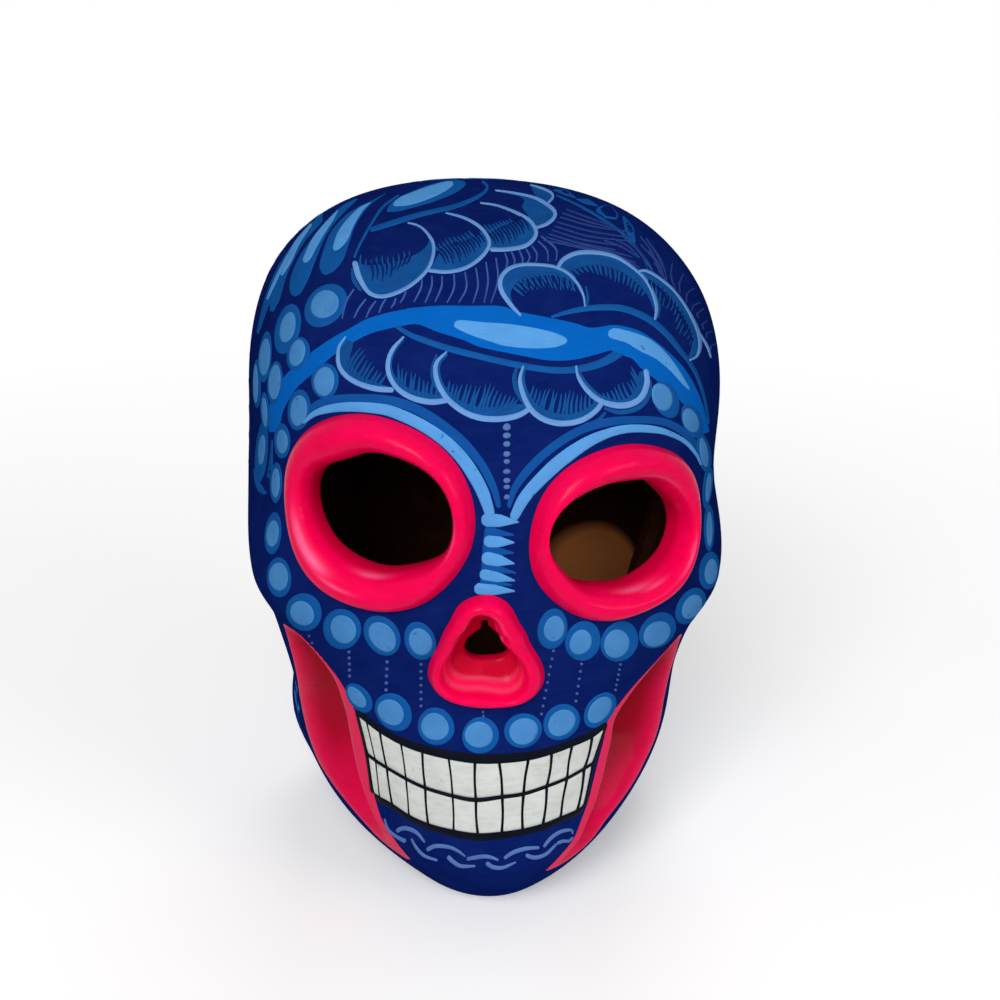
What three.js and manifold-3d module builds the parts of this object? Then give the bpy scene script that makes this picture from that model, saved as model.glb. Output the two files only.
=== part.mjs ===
// A sugar skull of hand-painted, hollow fired clay that stands on its own flat underside.
//
// The skull is pressed in two mould halves, a face and a cranium, which meet in a plane across the
// ears and are held by a clay coil on the inside of the seam. A slab closes the underside. Rolls of
// clay line the eye and nose openings, a bent slab backs each cheek hollow, and two thin strips
// carry the painted teeth. Nothing moves: every joint is a slip joint fired solid.
//
// Millimetres, +Z up, the face looks along -Y. The origin lies in the resting plane, below the middle
// of the whole skull.

import * as THREE from "three";
import { mergeVertices } from "three/addons/utils/BufferGeometryUtils.js";
import Module from "manifold-3d";

const wasm = await Module();
wasm.setup();

// Overall form
const skullHeight = 190;
const halfWidth = 67;
const frontReach = 79;
const backReach = 94;
const domeFoot = 118; // height at which the walls turn into the dome
const wall = 7;

// Plan sections of the walls from the underside up to the dome's foot
const levelShares = [0, 0.15, 0.34, 0.53, 0.75, 1];
const widthShares = [0.42, 0.67, 0.83, 0.865, 0.95, 1];
const frontShares = [0.66, 0.89, 0.95, 0.93, 0.96, 1];
const backShares = [0.44, 0.6, 0.76, 0.88, 0.97, 1];
const frontRoundness = [2, 1.9, 2, 2.2, 2.5, 2.35]; // exponent of the plan curve at each level
const backRoundness = 2.1;
const domeRoundness = { width: 3.1, front: 2.7, back: 2.8 };

// Cheekbone, temple and the swell behind the jaw
const cheekbone = { flare: 3.5, belowEye: 34, above: 20, below: 8, azimuthDegrees: 60, spreadDegrees: 24 };
const temple = { dip: 3, belowEye: 2, reach: 16, azimuthDegrees: 72, spreadDegrees: 25 };
const nape = { swell: 11, height: 16, reach: 30, azimuthDegrees: 125, spreadDegrees: 34 };

// Clearances and cutting overrun
const gap = 0.3;
const overrun = 12;
const weld = 1e-4;

// Tooth strips: one on each jaw, bowed like a smile, with their lines placed from the bite
const teeth = { azimuthDegrees: -4.5, proud: 1.2, parting: 0.6, upperTall: 11.5, lowerTall: 11 };
const bite = { height: 46, bow: 6, halfDegrees: 25.5 };
const toothLines = {
  top: { height: bite.height + teeth.upperTall, bow: 5.5, halfDegrees: 27.5 },
  foot: { height: bite.height - teeth.lowerTall, bow: 2.5, halfDegrees: 23.5 },
};

// Nose: a rounded triangle above the teeth, with a slanted floor under its hole
const nose = { azimuthDegrees: -4, aboveTeeth: 14.5, width: 30.5, tall: 34, roll: 7, crest: 4.7 };
const noseHole = { width: 11, tall: 11, rise: 4.5, depth: 6 };
const noseRollShares = [[0.06, 0.5], [0.25, 0.9], [0.5, 1], [0.8, 0.6]]; // of the roll's width and crest
const noseCollarShare = 0.75;
const noseCorner = 3.5; // exponent that rounds the triangle's corners
const noseHeight = toothLines.top.height + nose.aboveTeeth + nose.tall / 2;
const noseTop = noseHeight + nose.tall / 2;

// Eyes: each has its own place above the nose, because the two were set by hand
const eyeRoll = { width: 10.5, crest: 5, sink: 3 };
const eyeRollShares = [[0.97, 0.5], [0.82, 0.88], [0.6, 1], [0.36, 0.78], [0.14, 0.15]]; // of width and crest
const eyeCollarShare = 0.4;
const eyeThroatShare = 0.03;
const eyeSquareness = 2.25; // exponent of the opening's outline
const eyeLiftDegrees = 3; // how far an eye's axis points up
const eyes = {
  left: { azimuthDegrees: -25, aboveNose: 20, facingDegrees: -28, holeWidth: 35, holeHeight: 31 },
  right: { azimuthDegrees: 21, aboveNose: 14.5, facingDegrees: 25, holeWidth: 33.5, holeHeight: 28 },
};
const browHeight = noseTop + eyes.left.aboveNose;

// Cheek hollows: azimuths and heights of the front and the rear edge, from the cheekbone down to the tip
const hollowDepth = 11;
const hollowEdgeDepth = 1.5;
const hollowDroop = { left: 0, right: 5 }; // sag of the upper edge between its ends
const hollowSlab = 5;
const hollowJoint = 1.2; // width of the slip joint round the slab
const hollowWallShare = 0.3; // share of the breadth in which the steep front wall reaches its depth
const hollowTopShare = 0.18; // share of the length in which the upper end reaches its depth
const hollowHeightShares = {
  left: { front: [0.415, 0.355, 0.27, 0.185, 0.11, 0.055], rear: [0.41, 0.32, 0.235, 0.16, 0.1, 0.045] },
  right: { front: [0.325, 0.275, 0.235, 0.19, 0.14, 0.07], rear: [0.425, 0.345, 0.265, 0.195, 0.12, 0.055] },
};
const hollowDegrees = {
  left: { front: [-37, -34, -31, -29, -28, -27], rear: [-64, -63, -59, -52, -42, -30] },
  right: { front: [23.5, 21.5, 20, 18.5, 16, 13.5], rear: [50, 46.5, 46, 44, 37, 17] },
};

// Underside slab with its oval vent, and the coil inside the seam
const baseThickness = 8;
const vent = { halfWidth: 18, halfDepth: 26 };
const coilRadius = 4;
const coilBed = 0.7; // slip between the coil and the walls

// Faceting
const columns = 60;
const wallRows = 16;
const domeRows = 11;
const domeRowPowers = { turn: 1.4, rise: 0.72 }; // spread the dome's rows evenly over its curve
const ringSteps = 32;
const hollowSteps = { across: 10, along: 16 };
const toothSteps = { across: 22, along: 3 };
const coilSides = 8;
const coilSteps = 32;
const outlineSteps = 720; // looked at to find the triangle's box
const halvings = 24; // of the distance between a plane and the skin
const slopeStep = 1e-3; // in radians and in climb, for the skin's slopes

const quarterTurn = Math.PI / 2;
const toRadians = THREE.MathUtils.degToRad;

// Natural cubic spline at the lower end, level at the upper end, through (xs, ys).
function spline(xs, ys) {
  const last = xs.length - 1;
  const bend = new Array(last + 1).fill(0);
  const upper = new Array(last + 1).fill(0);
  for (let i = 1; i <= last; i += 1) {
    const before = xs[i] - xs[i - 1];
    const after = i < last ? xs[i + 1] - xs[i] : 0;
    const slopeAfter = i < last ? (ys[i + 1] - ys[i]) / after : 0;
    const slopeBefore = (ys[i] - ys[i - 1]) / before;
    const pivot = 2 * (before + after) - before * upper[i - 1];
    upper[i] = after / pivot;
    bend[i] = (6 * (slopeAfter - slopeBefore) - before * bend[i - 1]) / pivot;
  }
  for (let i = last - 1; i > 0; i -= 1) bend[i] -= upper[i] * bend[i + 1];
  return (x) => {
    const at = THREE.MathUtils.clamp(x, xs[0], xs[last]);
    let i = 0;
    while (i < last - 1 && at > xs[i + 1]) i += 1;
    const step = xs[i + 1] - xs[i];
    const a = (xs[i + 1] - at) / step;
    const b = 1 - a;
    const sag = ((a ** 3 - a) * bend[i] + (b ** 3 - b) * bend[i + 1]) * (step ** 2 / 6);
    return a * ys[i] + b * ys[i + 1] + sag;
  };
}

const widthAt = spline(levelShares, widthShares);
const frontAt = spline(levelShares, frontShares);
const backAt = spline(levelShares, backShares);
const roundnessAt = spline(levelShares, frontRoundness);

// Bell curve that is 1 at the middle.
function bell(x, middle, spread) {
  return Math.exp(-(((x - middle) / spread) ** 2));
}

// Distance from the axis to the outer skin at an azimuth (radians, 0 at the face) and a height:
// a superellipse in plan, flared at the cheekbone, dipped at the temple and swollen behind the jaw.
function skinRadius(azimuth, z) {
  const rise = THREE.MathUtils.clamp((z - domeFoot) / (skullHeight - domeFoot), 0, 1);
  const level = z / domeFoot;
  const shrink = (power) => Math.max(1 - rise ** power, 0) ** (1 / power);
  const facesFront = Math.cos(azimuth) > 0;
  const width = halfWidth * widthAt(level) * shrink(domeRoundness.width);
  const depth = facesFront
    ? frontReach * frontAt(level) * shrink(domeRoundness.front)
    : backReach * backAt(level) * shrink(domeRoundness.back);
  if (width === 0 || depth === 0) return 0;
  const power = facesFront ? roundnessAt(level) : backRoundness;
  const across = Math.abs(Math.sin(azimuth)) / width;
  const along = Math.abs(Math.cos(azimuth)) / depth;
  const plain = (across ** power + along ** power) ** (-1 / power);
  const side = Math.abs(THREE.MathUtils.radToDeg(azimuth));
  const cheekHeight = browHeight - cheekbone.belowEye;
  const reach = z > cheekHeight ? cheekbone.above : cheekbone.below;
  const flare = cheekbone.flare * bell(z, cheekHeight, reach)
    * bell(side, cheekbone.azimuthDegrees, cheekbone.spreadDegrees);
  const dip = temple.dip * bell(z, browHeight - temple.belowEye, temple.reach)
    * bell(side, temple.azimuthDegrees, temple.spreadDegrees);
  const swell = nape.swell * bell(z, nape.height, nape.reach)
    * bell(side, nape.azimuthDegrees, nape.spreadDegrees);
  return plain + flare - dip + swell;
}

function skinPoint(azimuth, z) {
  const radius = skinRadius(azimuth, z);
  return new THREE.Vector3(radius * Math.sin(azimuth), -radius * Math.cos(azimuth), z);
}

// Height of the skin at a climb of 0 (underside) to 1 (dome's foot) to 2 (crown).
function climbHeight(climb) {
  if (climb <= 1) return domeFoot * Math.max(climb, 0);
  const turn = quarterTurn * (1 - Math.max(2 - climb, 0) ** domeRowPowers.turn);
  return domeFoot + (skullHeight - domeFoot) * Math.sin(turn) ** domeRowPowers.rise;
}

// Outward normal of the skin, from its slopes along both parameters.
function skinNormal(azimuth, climb) {
  if (climb > 2 - slopeStep) return new THREE.Vector3(0, 0, 1);
  const z = climbHeight(climb);
  const low = climbHeight(Math.max(climb - slopeStep, 0));
  const high = climbHeight(climb + slopeStep);
  const along = skinPoint(azimuth + slopeStep, z).sub(skinPoint(azimuth - slopeStep, z));
  const up = skinPoint(azimuth, high).sub(skinPoint(azimuth, low));
  return along.cross(up).normalize();
}

// Skin point at an azimuth and a climb, pushed outwards along the normal.
function skinAt(azimuth, climb, push) {
  return skinPoint(azimuth, climbHeight(climb)).addScaledVector(skinNormal(azimuth, climb), push);
}

// The same for a height below the dome's foot.
function wallAt(azimuthDegrees, z, push) {
  return skinAt(toRadians(azimuthDegrees), z / domeFoot, push);
}

function geometryOf(points, triangles) {
  const geometry = new THREE.BufferGeometry().setFromPoints(points);
  geometry.setIndex(triangles);
  return geometry;
}

function quad(a, b, c, d) {
  return [a, b, c, a, c, d];
}

// Closed body inside the skin pushed out by a distance. A floorless one runs on below the underside.
function skinBody(push, floorless) {
  const climbs = [];
  for (let i = 0; i <= wallRows; i += 1) climbs.push(i / wallRows);
  for (let i = 1; i < domeRows; i += 1) climbs.push(1 + i / domeRows);
  const azimuths = [];
  for (let j = 0; j < columns; j += 1) azimuths.push((j / columns) * 4 * quarterTurn - 2 * quarterTurn);
  const rows = climbs.map((climb) => azimuths.map((azimuth) => skinAt(azimuth, climb, push)));
  if (floorless) rows.unshift(rows[0].map((point) => new THREE.Vector3(point.x, point.y, -overrun)));
  else rows[0].forEach((point) => { point.z = 0; });
  const points = rows.flat();
  const crown = points.push(new THREE.Vector3(0, 0, skullHeight + push)) - 1;
  const floor = points.push(new THREE.Vector3(0, 0, floorless ? -overrun : 0)) - 1;
  const top = (rows.length - 1) * columns;
  const triangles = [];
  for (let j = 0; j < columns; j += 1) {
    const next = (j + 1) % columns;
    for (let row = 0; row < top; row += columns) {
      triangles.push(...quad(row + j, row + next, row + columns + next, row + columns + j));
    }
    triangles.push(floor, next, j, crown, top + j, top + next);
  }
  return geometryOf(points, triangles);
}

// Closed patch between two faces, each a function of two shares that run from 0 to 1.
function patchBody(outer, inner, { across, along }) {
  const points = [];
  for (const face of [outer, inner]) {
    for (let i = 0; i <= along; i += 1) {
      for (let j = 0; j <= across; j += 1) points.push(face(j / across, i / along));
    }
  }
  const width = across + 1;
  const layer = width * (along + 1);
  const triangles = [];
  for (let i = 0; i < along; i += 1) {
    for (let j = 0; j < across; j += 1) {
      const a = i * width + j;
      triangles.push(...quad(a, a + 1, a + width + 1, a + width));
      triangles.push(...quad(layer + a, layer + a + width, layer + a + width + 1, layer + a + 1));
    }
  }
  const edge = [];
  for (let j = 0; j < across; j += 1) edge.push(j);
  for (let i = 0; i < along; i += 1) edge.push(i * width + across);
  for (let j = across; j > 0; j -= 1) edge.push(along * width + j);
  for (let i = along; i > 0; i -= 1) edge.push(i * width);
  edge.forEach((a, k) => {
    const b = edge[(k + 1) % edge.length];
    triangles.push(...quad(a, layer + a, layer + b, b));
  });
  return geometryOf(points, triangles);
}

// Right, up and out directions of an opening, with its middle on the skin.
function openingFrame(azimuthDegrees, z, facingDegrees, liftDegrees) {
  const facing = toRadians(facingDegrees);
  const lift = toRadians(liftDegrees);
  const right = new THREE.Vector3(Math.cos(facing), Math.sin(facing), 0);
  const level = new THREE.Vector3(Math.sin(facing), -Math.cos(facing), 0);
  const out = level.multiplyScalar(Math.cos(lift)).add(new THREE.Vector3(0, 0, Math.sin(lift)));
  const up = out.clone().cross(right);
  return { middle: skinPoint(toRadians(azimuthDegrees), z), right, up, out };
}

// Point of an opening's own plane, moved out by a distance.
function planePoint(frame, x, y, out) {
  return frame.middle.clone()
    .addScaledVector(frame.right, x)
    .addScaledVector(frame.up, y)
    .addScaledVector(frame.out, out);
}

// How far the skin lies from that plane at a point, found by halving.
function skinOffset(frame, x, y) {
  let inside = -halfWidth / 2;
  let outside = halfWidth / 2;
  for (let step = 0; step < halvings; step += 1) {
    const middle = (inside + outside) / 2;
    const point = planePoint(frame, x, y, middle);
    const azimuth = Math.atan2(point.x, -point.y);
    if (Math.hypot(point.x, point.y) < skinRadius(azimuth, point.z)) inside = middle;
    else outside = middle;
  }
  return inside;
}

// Superellipse outline in a unit box.
function ovalOutline(turn) {
  const c = Math.cos(turn);
  const s = Math.sin(turn);
  const sum = Math.abs(c) ** eyeSquareness + Math.abs(s) ** eyeSquareness;
  const size = sum ** (-1 / eyeSquareness) / 2;
  return [size * c, size * s];
}

// Triangle with its point up and its corners rounded, not yet fitted to a box.
function roundedTriangle(turn) {
  const sides = [-quarterTurn, quarterTurn / 3, (5 * quarterTurn) / 3];
  const sum = sides.reduce((total, side) => total + Math.max(Math.cos(turn - side), 0) ** noseCorner, 0);
  const size = sum ** (-1 / noseCorner);
  return [size * Math.cos(turn), size * Math.sin(turn)];
}

function turns(steps) {
  return Array.from({ length: steps }, (_, i) => (i / steps) * 4 * quarterTurn);
}

const triangleBox = turns(outlineSteps).map(roundedTriangle).reduce(
  (box, [x, y]) => ({
    wide: Math.max(box.wide, 2 * x),
    low: Math.min(box.low, y),
    high: Math.max(box.high, y),
  }),
  { wide: 0, low: 0, high: 0 },
);

// The same triangle in a unit box.
function triangleOutline(turn) {
  const [x, y] = roundedTriangle(turn);
  const tall = triangleBox.high - triangleBox.low;
  return [x / triangleBox.wide, (y - triangleBox.low) / tall - 0.5];
}

// Roll of clay round an opening: a loop of rings, each an outline with its own width, height, rise of
// its middle, and distance out from the skin.
function rollBody(frame, outline, rings) {
  const points = rings.flatMap((ring) => turns(ringSteps).map((turn) => {
    const [unitX, unitY] = outline(turn);
    const x = unitX * ring.width;
    const y = unitY * ring.tall + ring.rise;
    return planePoint(frame, x, y, skinOffset(frame, x, y) + ring.out);
  }));
  const triangles = [];
  rings.forEach((_, k) => {
    const row = k * ringSteps;
    const nextRow = ((k + 1) % rings.length) * ringSteps;
    for (let i = 0; i < ringSteps; i += 1) {
      const next = (i + 1) % ringSteps;
      triangles.push(...quad(row + i, row + next, nextRow + next, nextRow + i));
    }
  });
  return geometryOf(points, triangles);
}

// Plug that cuts an opening straight through the wall, a gap wider than the roll's collar.
function plugBody(frame, outline, collar) {
  const ends = [overrun, -overrun - wall];
  const points = ends.flatMap((out) => turns(ringSteps).map((turn) => {
    const [unitX, unitY] = outline(turn);
    const x = unitX * (collar.width + 2 * gap);
    const y = unitY * (collar.tall + 2 * gap) + collar.rise;
    return planePoint(frame, x, y, skinOffset(frame, x, y) + out);
  }));
  const front = points.push(planePoint(frame, 0, collar.rise, overrun)) - 1;
  const back = points.push(planePoint(frame, 0, collar.rise, -overrun - wall)) - 1;
  const triangles = [];
  for (let i = 0; i < ringSteps; i += 1) {
    const next = (i + 1) % ringSteps;
    triangles.push(...quad(i, ringSteps + i, ringSteps + next, next));
    triangles.push(front, i, next, back, ringSteps + next, ringSteps + i);
  }
  return geometryOf(points, triangles);
}

// Rings of an eye's roll, from its foot on the skin over the crest and back along the collar.
function eyeRings(eye) {
  const ring = (share, out) => ({
    width: eye.holeWidth + 2 * eyeRoll.width * share,
    tall: eye.holeHeight + 2 * eyeRoll.width * share,
    rise: 0,
    out,
  });
  const collar = ring(eyeCollarShare, gap);
  return {
    collar,
    rings: [
      ring(1, gap),
      ...eyeRollShares.map(([across, high]) => ring(across, eyeRoll.crest * high)),
      ring(0, -eyeRoll.sink),
      ring(eyeThroatShare, -wall - gap),
      ring(eyeCollarShare, -wall - gap),
      collar,
    ],
  };
}

// Rings of the nose's roll: over the crest, down to the crease, along the floor to the hole and back.
function noseRings() {
  const ring = (share, out) => ({
    width: nose.width - 2 * nose.roll * share,
    tall: nose.tall - 2 * nose.roll * share,
    rise: 0,
    out,
  });
  const hole = (out) => ({ width: noseHole.width, tall: noseHole.tall, rise: noseHole.rise, out });
  const collar = ring(noseCollarShare, gap);
  const backOut = -noseHole.depth - wall / 2;
  return {
    collar,
    rings: [
      ring(0, gap),
      ...noseRollShares.map(([across, high]) => ring(across, nose.crest * high)),
      ring(1, 0),
      hole(-noseHole.depth),
      hole(backOut),
      ring(noseCollarShare, backOut),
      collar,
    ],
  };
}

// Place inside a cheek hollow's outline, drawn in by a clearance on every side.
function hollowPlace(side, across, along, clearance) {
  const count = hollowDegrees[side].front.length - 1;
  const shares = Array.from({ length: count + 1 }, (_, i) => i / count);
  const at = (table, t) => {
    const path = new THREE.SplineCurve(shares.map((x, i) => new THREE.Vector2(x, table[i])));
    return path.getPoint(t).y;
  };
  const edge = (name, t) => ({
    azimuth: at(hollowDegrees[side][name], t),
    z: skullHeight * at(hollowHeightShares[side][name], t),
  });
  const length = wallAt(edge("front", 0).azimuth, edge("front", 0).z, 0)
    .distanceTo(wallAt(edge("front", 1).azimuth, edge("front", 1).z, 0));
  const t = along + (1 - 2 * along) * (clearance / length);
  const front = edge("front", t);
  const rear = edge("rear", t);
  const breadth = wallAt(front.azimuth, front.z, 0).distanceTo(wallAt(rear.azimuth, rear.z, 0));
  const s = across + (1 - 2 * across) * (clearance / breadth);
  return {
    azimuth: THREE.MathUtils.lerp(front.azimuth, rear.azimuth, s),
    z: THREE.MathUtils.lerp(front.z, rear.z, s) - hollowDroop[side] * 4 * s * (1 - s) * (1 - t) ** 2,
    breadth,
  };
}

// Depth of a cheek hollow: steep behind its front edge, easing out to its rear edge and its tip.
function hollowSink(across, along, breadth) {
  const steep = THREE.MathUtils.smoothstep(across, 0, hollowWallShare);
  const easing = 1 - THREE.MathUtils.smoothstep(across, hollowWallShare, 1);
  const ends = THREE.MathUtils.smoothstep(along, 0, hollowTopShare);
  const deepest = Math.min(hollowDepth, breadth / 2);
  return hollowEdgeDepth + (deepest - hollowEdgeDepth) * Math.min(steep, easing) * ends;
}

function hollowWindowFace(side, push) {
  return (across, along) => {
    const { azimuth, z } = hollowPlace(side, across, 1 - along, 0);
    return wallAt(azimuth, z, push);
  };
}

function hollowSlabFace(side, thickness) {
  return (across, along) => {
    const { azimuth, z, breadth } = hollowPlace(side, across, 1 - along, hollowJoint);
    return wallAt(azimuth, z, -hollowSink(across, 1 - along, breadth) - thickness);
  };
}

// Patches run from left to right as the face is looked at, so the left hollow is taken from its rear.
function sided(side, face) {
  return side === "left" ? (across, along) => face(1 - across, along) : face;
}

// Height of a tooth line at a place across the mouth, from -1 to 1.
function toothHeight(line, place) {
  return line.height + line.bow * place ** 2;
}

function toothFace(lower, upper, push) {
  return (across, along) => {
    const place = 2 * across - 1;
    const half = THREE.MathUtils.lerp(lower.halfDegrees, upper.halfDegrees, along);
    const z = THREE.MathUtils.lerp(toothHeight(lower, place), toothHeight(upper, place), along);
    return wallAt(teeth.azimuthDegrees + half * place, z, push);
  };
}

// Tooth strip between two lines, lying on the skin.
function toothStrip(lower, upper) {
  const outer = toothFace(lower, upper, teeth.proud + gap);
  return patchBody(outer, toothFace(lower, upper, gap), toothSteps);
}

function shiftedLine(line, rise) {
  return { ...line, height: line.height + rise };
}

function toSolid(geometry) {
  const merged = mergeVertices(geometry, weld);
  const vertProperties = merged.attributes.position.array;
  return new wasm.Manifold(
    new wasm.Mesh({ numProp: 3, vertProperties, triVerts: new Uint32Array(merged.index.array) }),
  );
}

function toGeometry(solid) {
  const { numProp, numVert, vertProperties, triVerts } = solid.getMesh();
  const positions = new Float32Array(numVert * 3);
  for (let i = 0; i < numVert; i += 1) {
    positions.set(vertProperties.subarray(i * numProp, i * numProp + 3), i * 3);
  }
  const geometry = new THREE.BufferGeometry();
  geometry.setAttribute("position", new THREE.BufferAttribute(positions, 3));
  geometry.setIndex(new THREE.BufferAttribute(triVerts, 1));
  return geometry;
}

// Box for cutting, given by its lowest and highest corners.
function boxBody(low, high) {
  const size = new THREE.Vector3().subVectors(high, low);
  const box = new THREE.BoxGeometry(size.x, size.y, size.z);
  box.translate((low.x + high.x) / 2, (low.y + high.y) / 2, (low.z + high.z) / 2);
  box.deleteAttribute("normal");
  box.deleteAttribute("uv");
  return box;
}

// Half of the space round the skull, in front of the seam (-1) or behind it (1).
function halfSpace(side) {
  const far = side * (frontReach + backReach);
  const near = (side * gap) / 2;
  const low = new THREE.Vector3(-2 * halfWidth, Math.min(far, near), -overrun);
  const high = new THREE.Vector3(2 * halfWidth, Math.max(far, near), skullHeight + overrun);
  return toSolid(boxBody(low, high));
}

// The hollow clay body with its openings cut, before the halves are parted.
function clayBody(plugs, windows) {
  let body = toSolid(skinBody(0, false)).subtract(toSolid(skinBody(-wall, true)));
  for (const cutter of [...plugs, ...windows]) body = body.subtract(toSolid(cutter));
  return body;
}

function ventBody() {
  const cylinder = new THREE.CylinderGeometry(1, 1, 2 * overrun + baseThickness, ringSteps);
  cylinder.deleteAttribute("normal");
  cylinder.deleteAttribute("uv");
  cylinder.rotateX(quarterTurn);
  cylinder.scale(vent.halfWidth, vent.halfDepth, 1);
  cylinder.translate(0, 0, baseThickness / 2);
  return cylinder;
}

// Slab that closes the underside inside the walls.
function baseBody() {
  const inside = toSolid(skinBody(-wall - gap, true));
  const low = new THREE.Vector3(-2 * halfWidth, -2 * frontReach, 0);
  const high = new THREE.Vector3(2 * halfWidth, 2 * backReach, baseThickness);
  return inside.intersect(toSolid(boxBody(low, high))).subtract(toSolid(ventBody()));
}

// Coil of clay pressed along the seam inside, from the slab over the crown and down to the slab.
function seamCoil() {
  const depth = -wall - coilBed - coilRadius;
  const foot = (baseThickness + coilBed + coilRadius) / domeFoot;
  const side = (azimuth) => {
    const points = [];
    for (let i = 0; i < coilSteps / 2; i += 1) {
      const climb = THREE.MathUtils.lerp(foot, 2, (2 * i) / coilSteps);
      points.push(skinAt(azimuth, climb, depth));
    }
    return points;
  };
  const crown = new THREE.Vector3(0, 0, skullHeight + depth);
  const path = new THREE.CatmullRomCurve3([...side(-quarterTurn), crown, ...side(quarterTurn).reverse()]);
  const section = new THREE.Shape(
    turns(coilSides).map(
      (turn) => new THREE.Vector2(coilRadius * Math.cos(turn), coilRadius * Math.sin(turn)),
    ),
  );
  const coil = new THREE.ExtrudeGeometry(section, { steps: coilSteps, extrudePath: path, curveSegments: 1 });
  coil.deleteAttribute("normal");
  coil.deleteAttribute("uv");
  return coil;
}

function finish(color, roughness) {
  return new THREE.MeshStandardMaterial({ color, roughness, metalness: 0 });
}

const navyPaint = finish(0x101a52, 0.5);
const pinkPaint = finish(0xe0103f, 0.28);
const whitePaint = finish(0xdfe2e0, 0.6);
const bareClay = finish(0x9c5a34, 0.9);

const skull = new THREE.Group();

function add(name, geometry, material) {
  const mesh = new THREE.Mesh(geometry, material);
  mesh.name = name;
  skull.add(mesh);
}

const noseFrame = openingFrame(nose.azimuthDegrees, noseHeight, nose.azimuthDegrees, 0);
const noseParts = noseRings();
const plugs = [plugBody(noseFrame, triangleOutline, noseParts.collar)];
add("nose_rim", rollBody(noseFrame, triangleOutline, noseParts.rings), pinkPaint);

for (const [side, eye] of Object.entries(eyes)) {
  const eyeHeight = noseTop + eye.aboveNose;
  const frame = openingFrame(eye.azimuthDegrees, eyeHeight, eye.facingDegrees, eyeLiftDegrees);
  const { collar, rings } = eyeRings(eye);
  plugs.push(plugBody(frame, ovalOutline, collar));
  add(`${side}_eye_rim`, rollBody(frame, ovalOutline, rings), pinkPaint);
}

const windows = [];
for (const side of ["left", "right"]) {
  const proud = sided(side, hollowWindowFace(side, overrun));
  const sunk = sided(side, hollowWindowFace(side, -overrun));
  windows.push(patchBody(proud, sunk, hollowSteps));
  const outer = sided(side, hollowSlabFace(side, 0));
  const inner = sided(side, hollowSlabFace(side, hollowSlab));
  add(`${side}_cheek_slab`, patchBody(outer, inner, hollowSteps), pinkPaint);
}

const clay = clayBody(plugs, windows);
add("face_shell", toGeometry(clay.intersect(halfSpace(-1))), navyPaint);
add("cranium_shell", toGeometry(clay.intersect(halfSpace(1))), navyPaint);
add("base_slab", toGeometry(baseBody()), bareClay);
add("seam_coil", seamCoil(), bareClay);

const halfParting = teeth.parting / 2;
add("upper_tooth_strip", toothStrip(shiftedLine(bite, halfParting), toothLines.top), whitePaint);
add("lower_tooth_strip", toothStrip(toothLines.foot, shiftedLine(bite, -halfParting)), whitePaint);

const middle = new THREE.Box3().setFromObject(skull).getCenter(new THREE.Vector3());
skull.position.set(-middle.x, -middle.y, 0);

export default skull;
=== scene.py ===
"""Looks of a hand-painted sugar skull of fired clay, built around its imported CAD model.

Every shape is worked out in millimetres in the skull's own frame: the axis stands in the plane where
the two mould halves meet, the face looks along -Y and the height runs up from the resting plane. A mesh
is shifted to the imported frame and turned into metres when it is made. The skin is a function of azimuth
and height, and each stroke of paint is a thin closed layer laid on that skin. Strokes that the
photograph shows are drawn at its pixels and carried along the line of sight to the skin.
"""

import math

import bpy
import numpy as np
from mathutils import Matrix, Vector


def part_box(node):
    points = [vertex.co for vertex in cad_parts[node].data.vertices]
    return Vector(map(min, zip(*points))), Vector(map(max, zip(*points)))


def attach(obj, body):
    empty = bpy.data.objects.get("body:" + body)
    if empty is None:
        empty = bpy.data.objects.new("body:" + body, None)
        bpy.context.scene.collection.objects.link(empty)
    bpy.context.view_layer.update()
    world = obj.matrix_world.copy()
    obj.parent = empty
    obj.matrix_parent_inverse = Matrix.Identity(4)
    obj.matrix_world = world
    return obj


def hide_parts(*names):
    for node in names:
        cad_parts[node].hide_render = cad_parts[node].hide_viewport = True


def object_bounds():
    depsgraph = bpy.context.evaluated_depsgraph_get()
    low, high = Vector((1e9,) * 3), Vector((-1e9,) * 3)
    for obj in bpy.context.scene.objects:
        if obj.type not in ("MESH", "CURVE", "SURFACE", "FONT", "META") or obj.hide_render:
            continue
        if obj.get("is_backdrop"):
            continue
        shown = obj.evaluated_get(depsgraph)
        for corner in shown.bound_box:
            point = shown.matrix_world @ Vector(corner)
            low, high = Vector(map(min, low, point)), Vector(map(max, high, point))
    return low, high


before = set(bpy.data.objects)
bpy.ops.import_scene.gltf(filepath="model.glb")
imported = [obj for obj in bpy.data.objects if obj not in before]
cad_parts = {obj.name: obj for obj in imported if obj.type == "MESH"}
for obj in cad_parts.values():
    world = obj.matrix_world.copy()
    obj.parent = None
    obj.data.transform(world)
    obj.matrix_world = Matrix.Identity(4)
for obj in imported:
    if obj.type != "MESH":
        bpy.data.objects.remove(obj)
cad_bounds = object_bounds()

MM = 0.001
BODY = "root"

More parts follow.
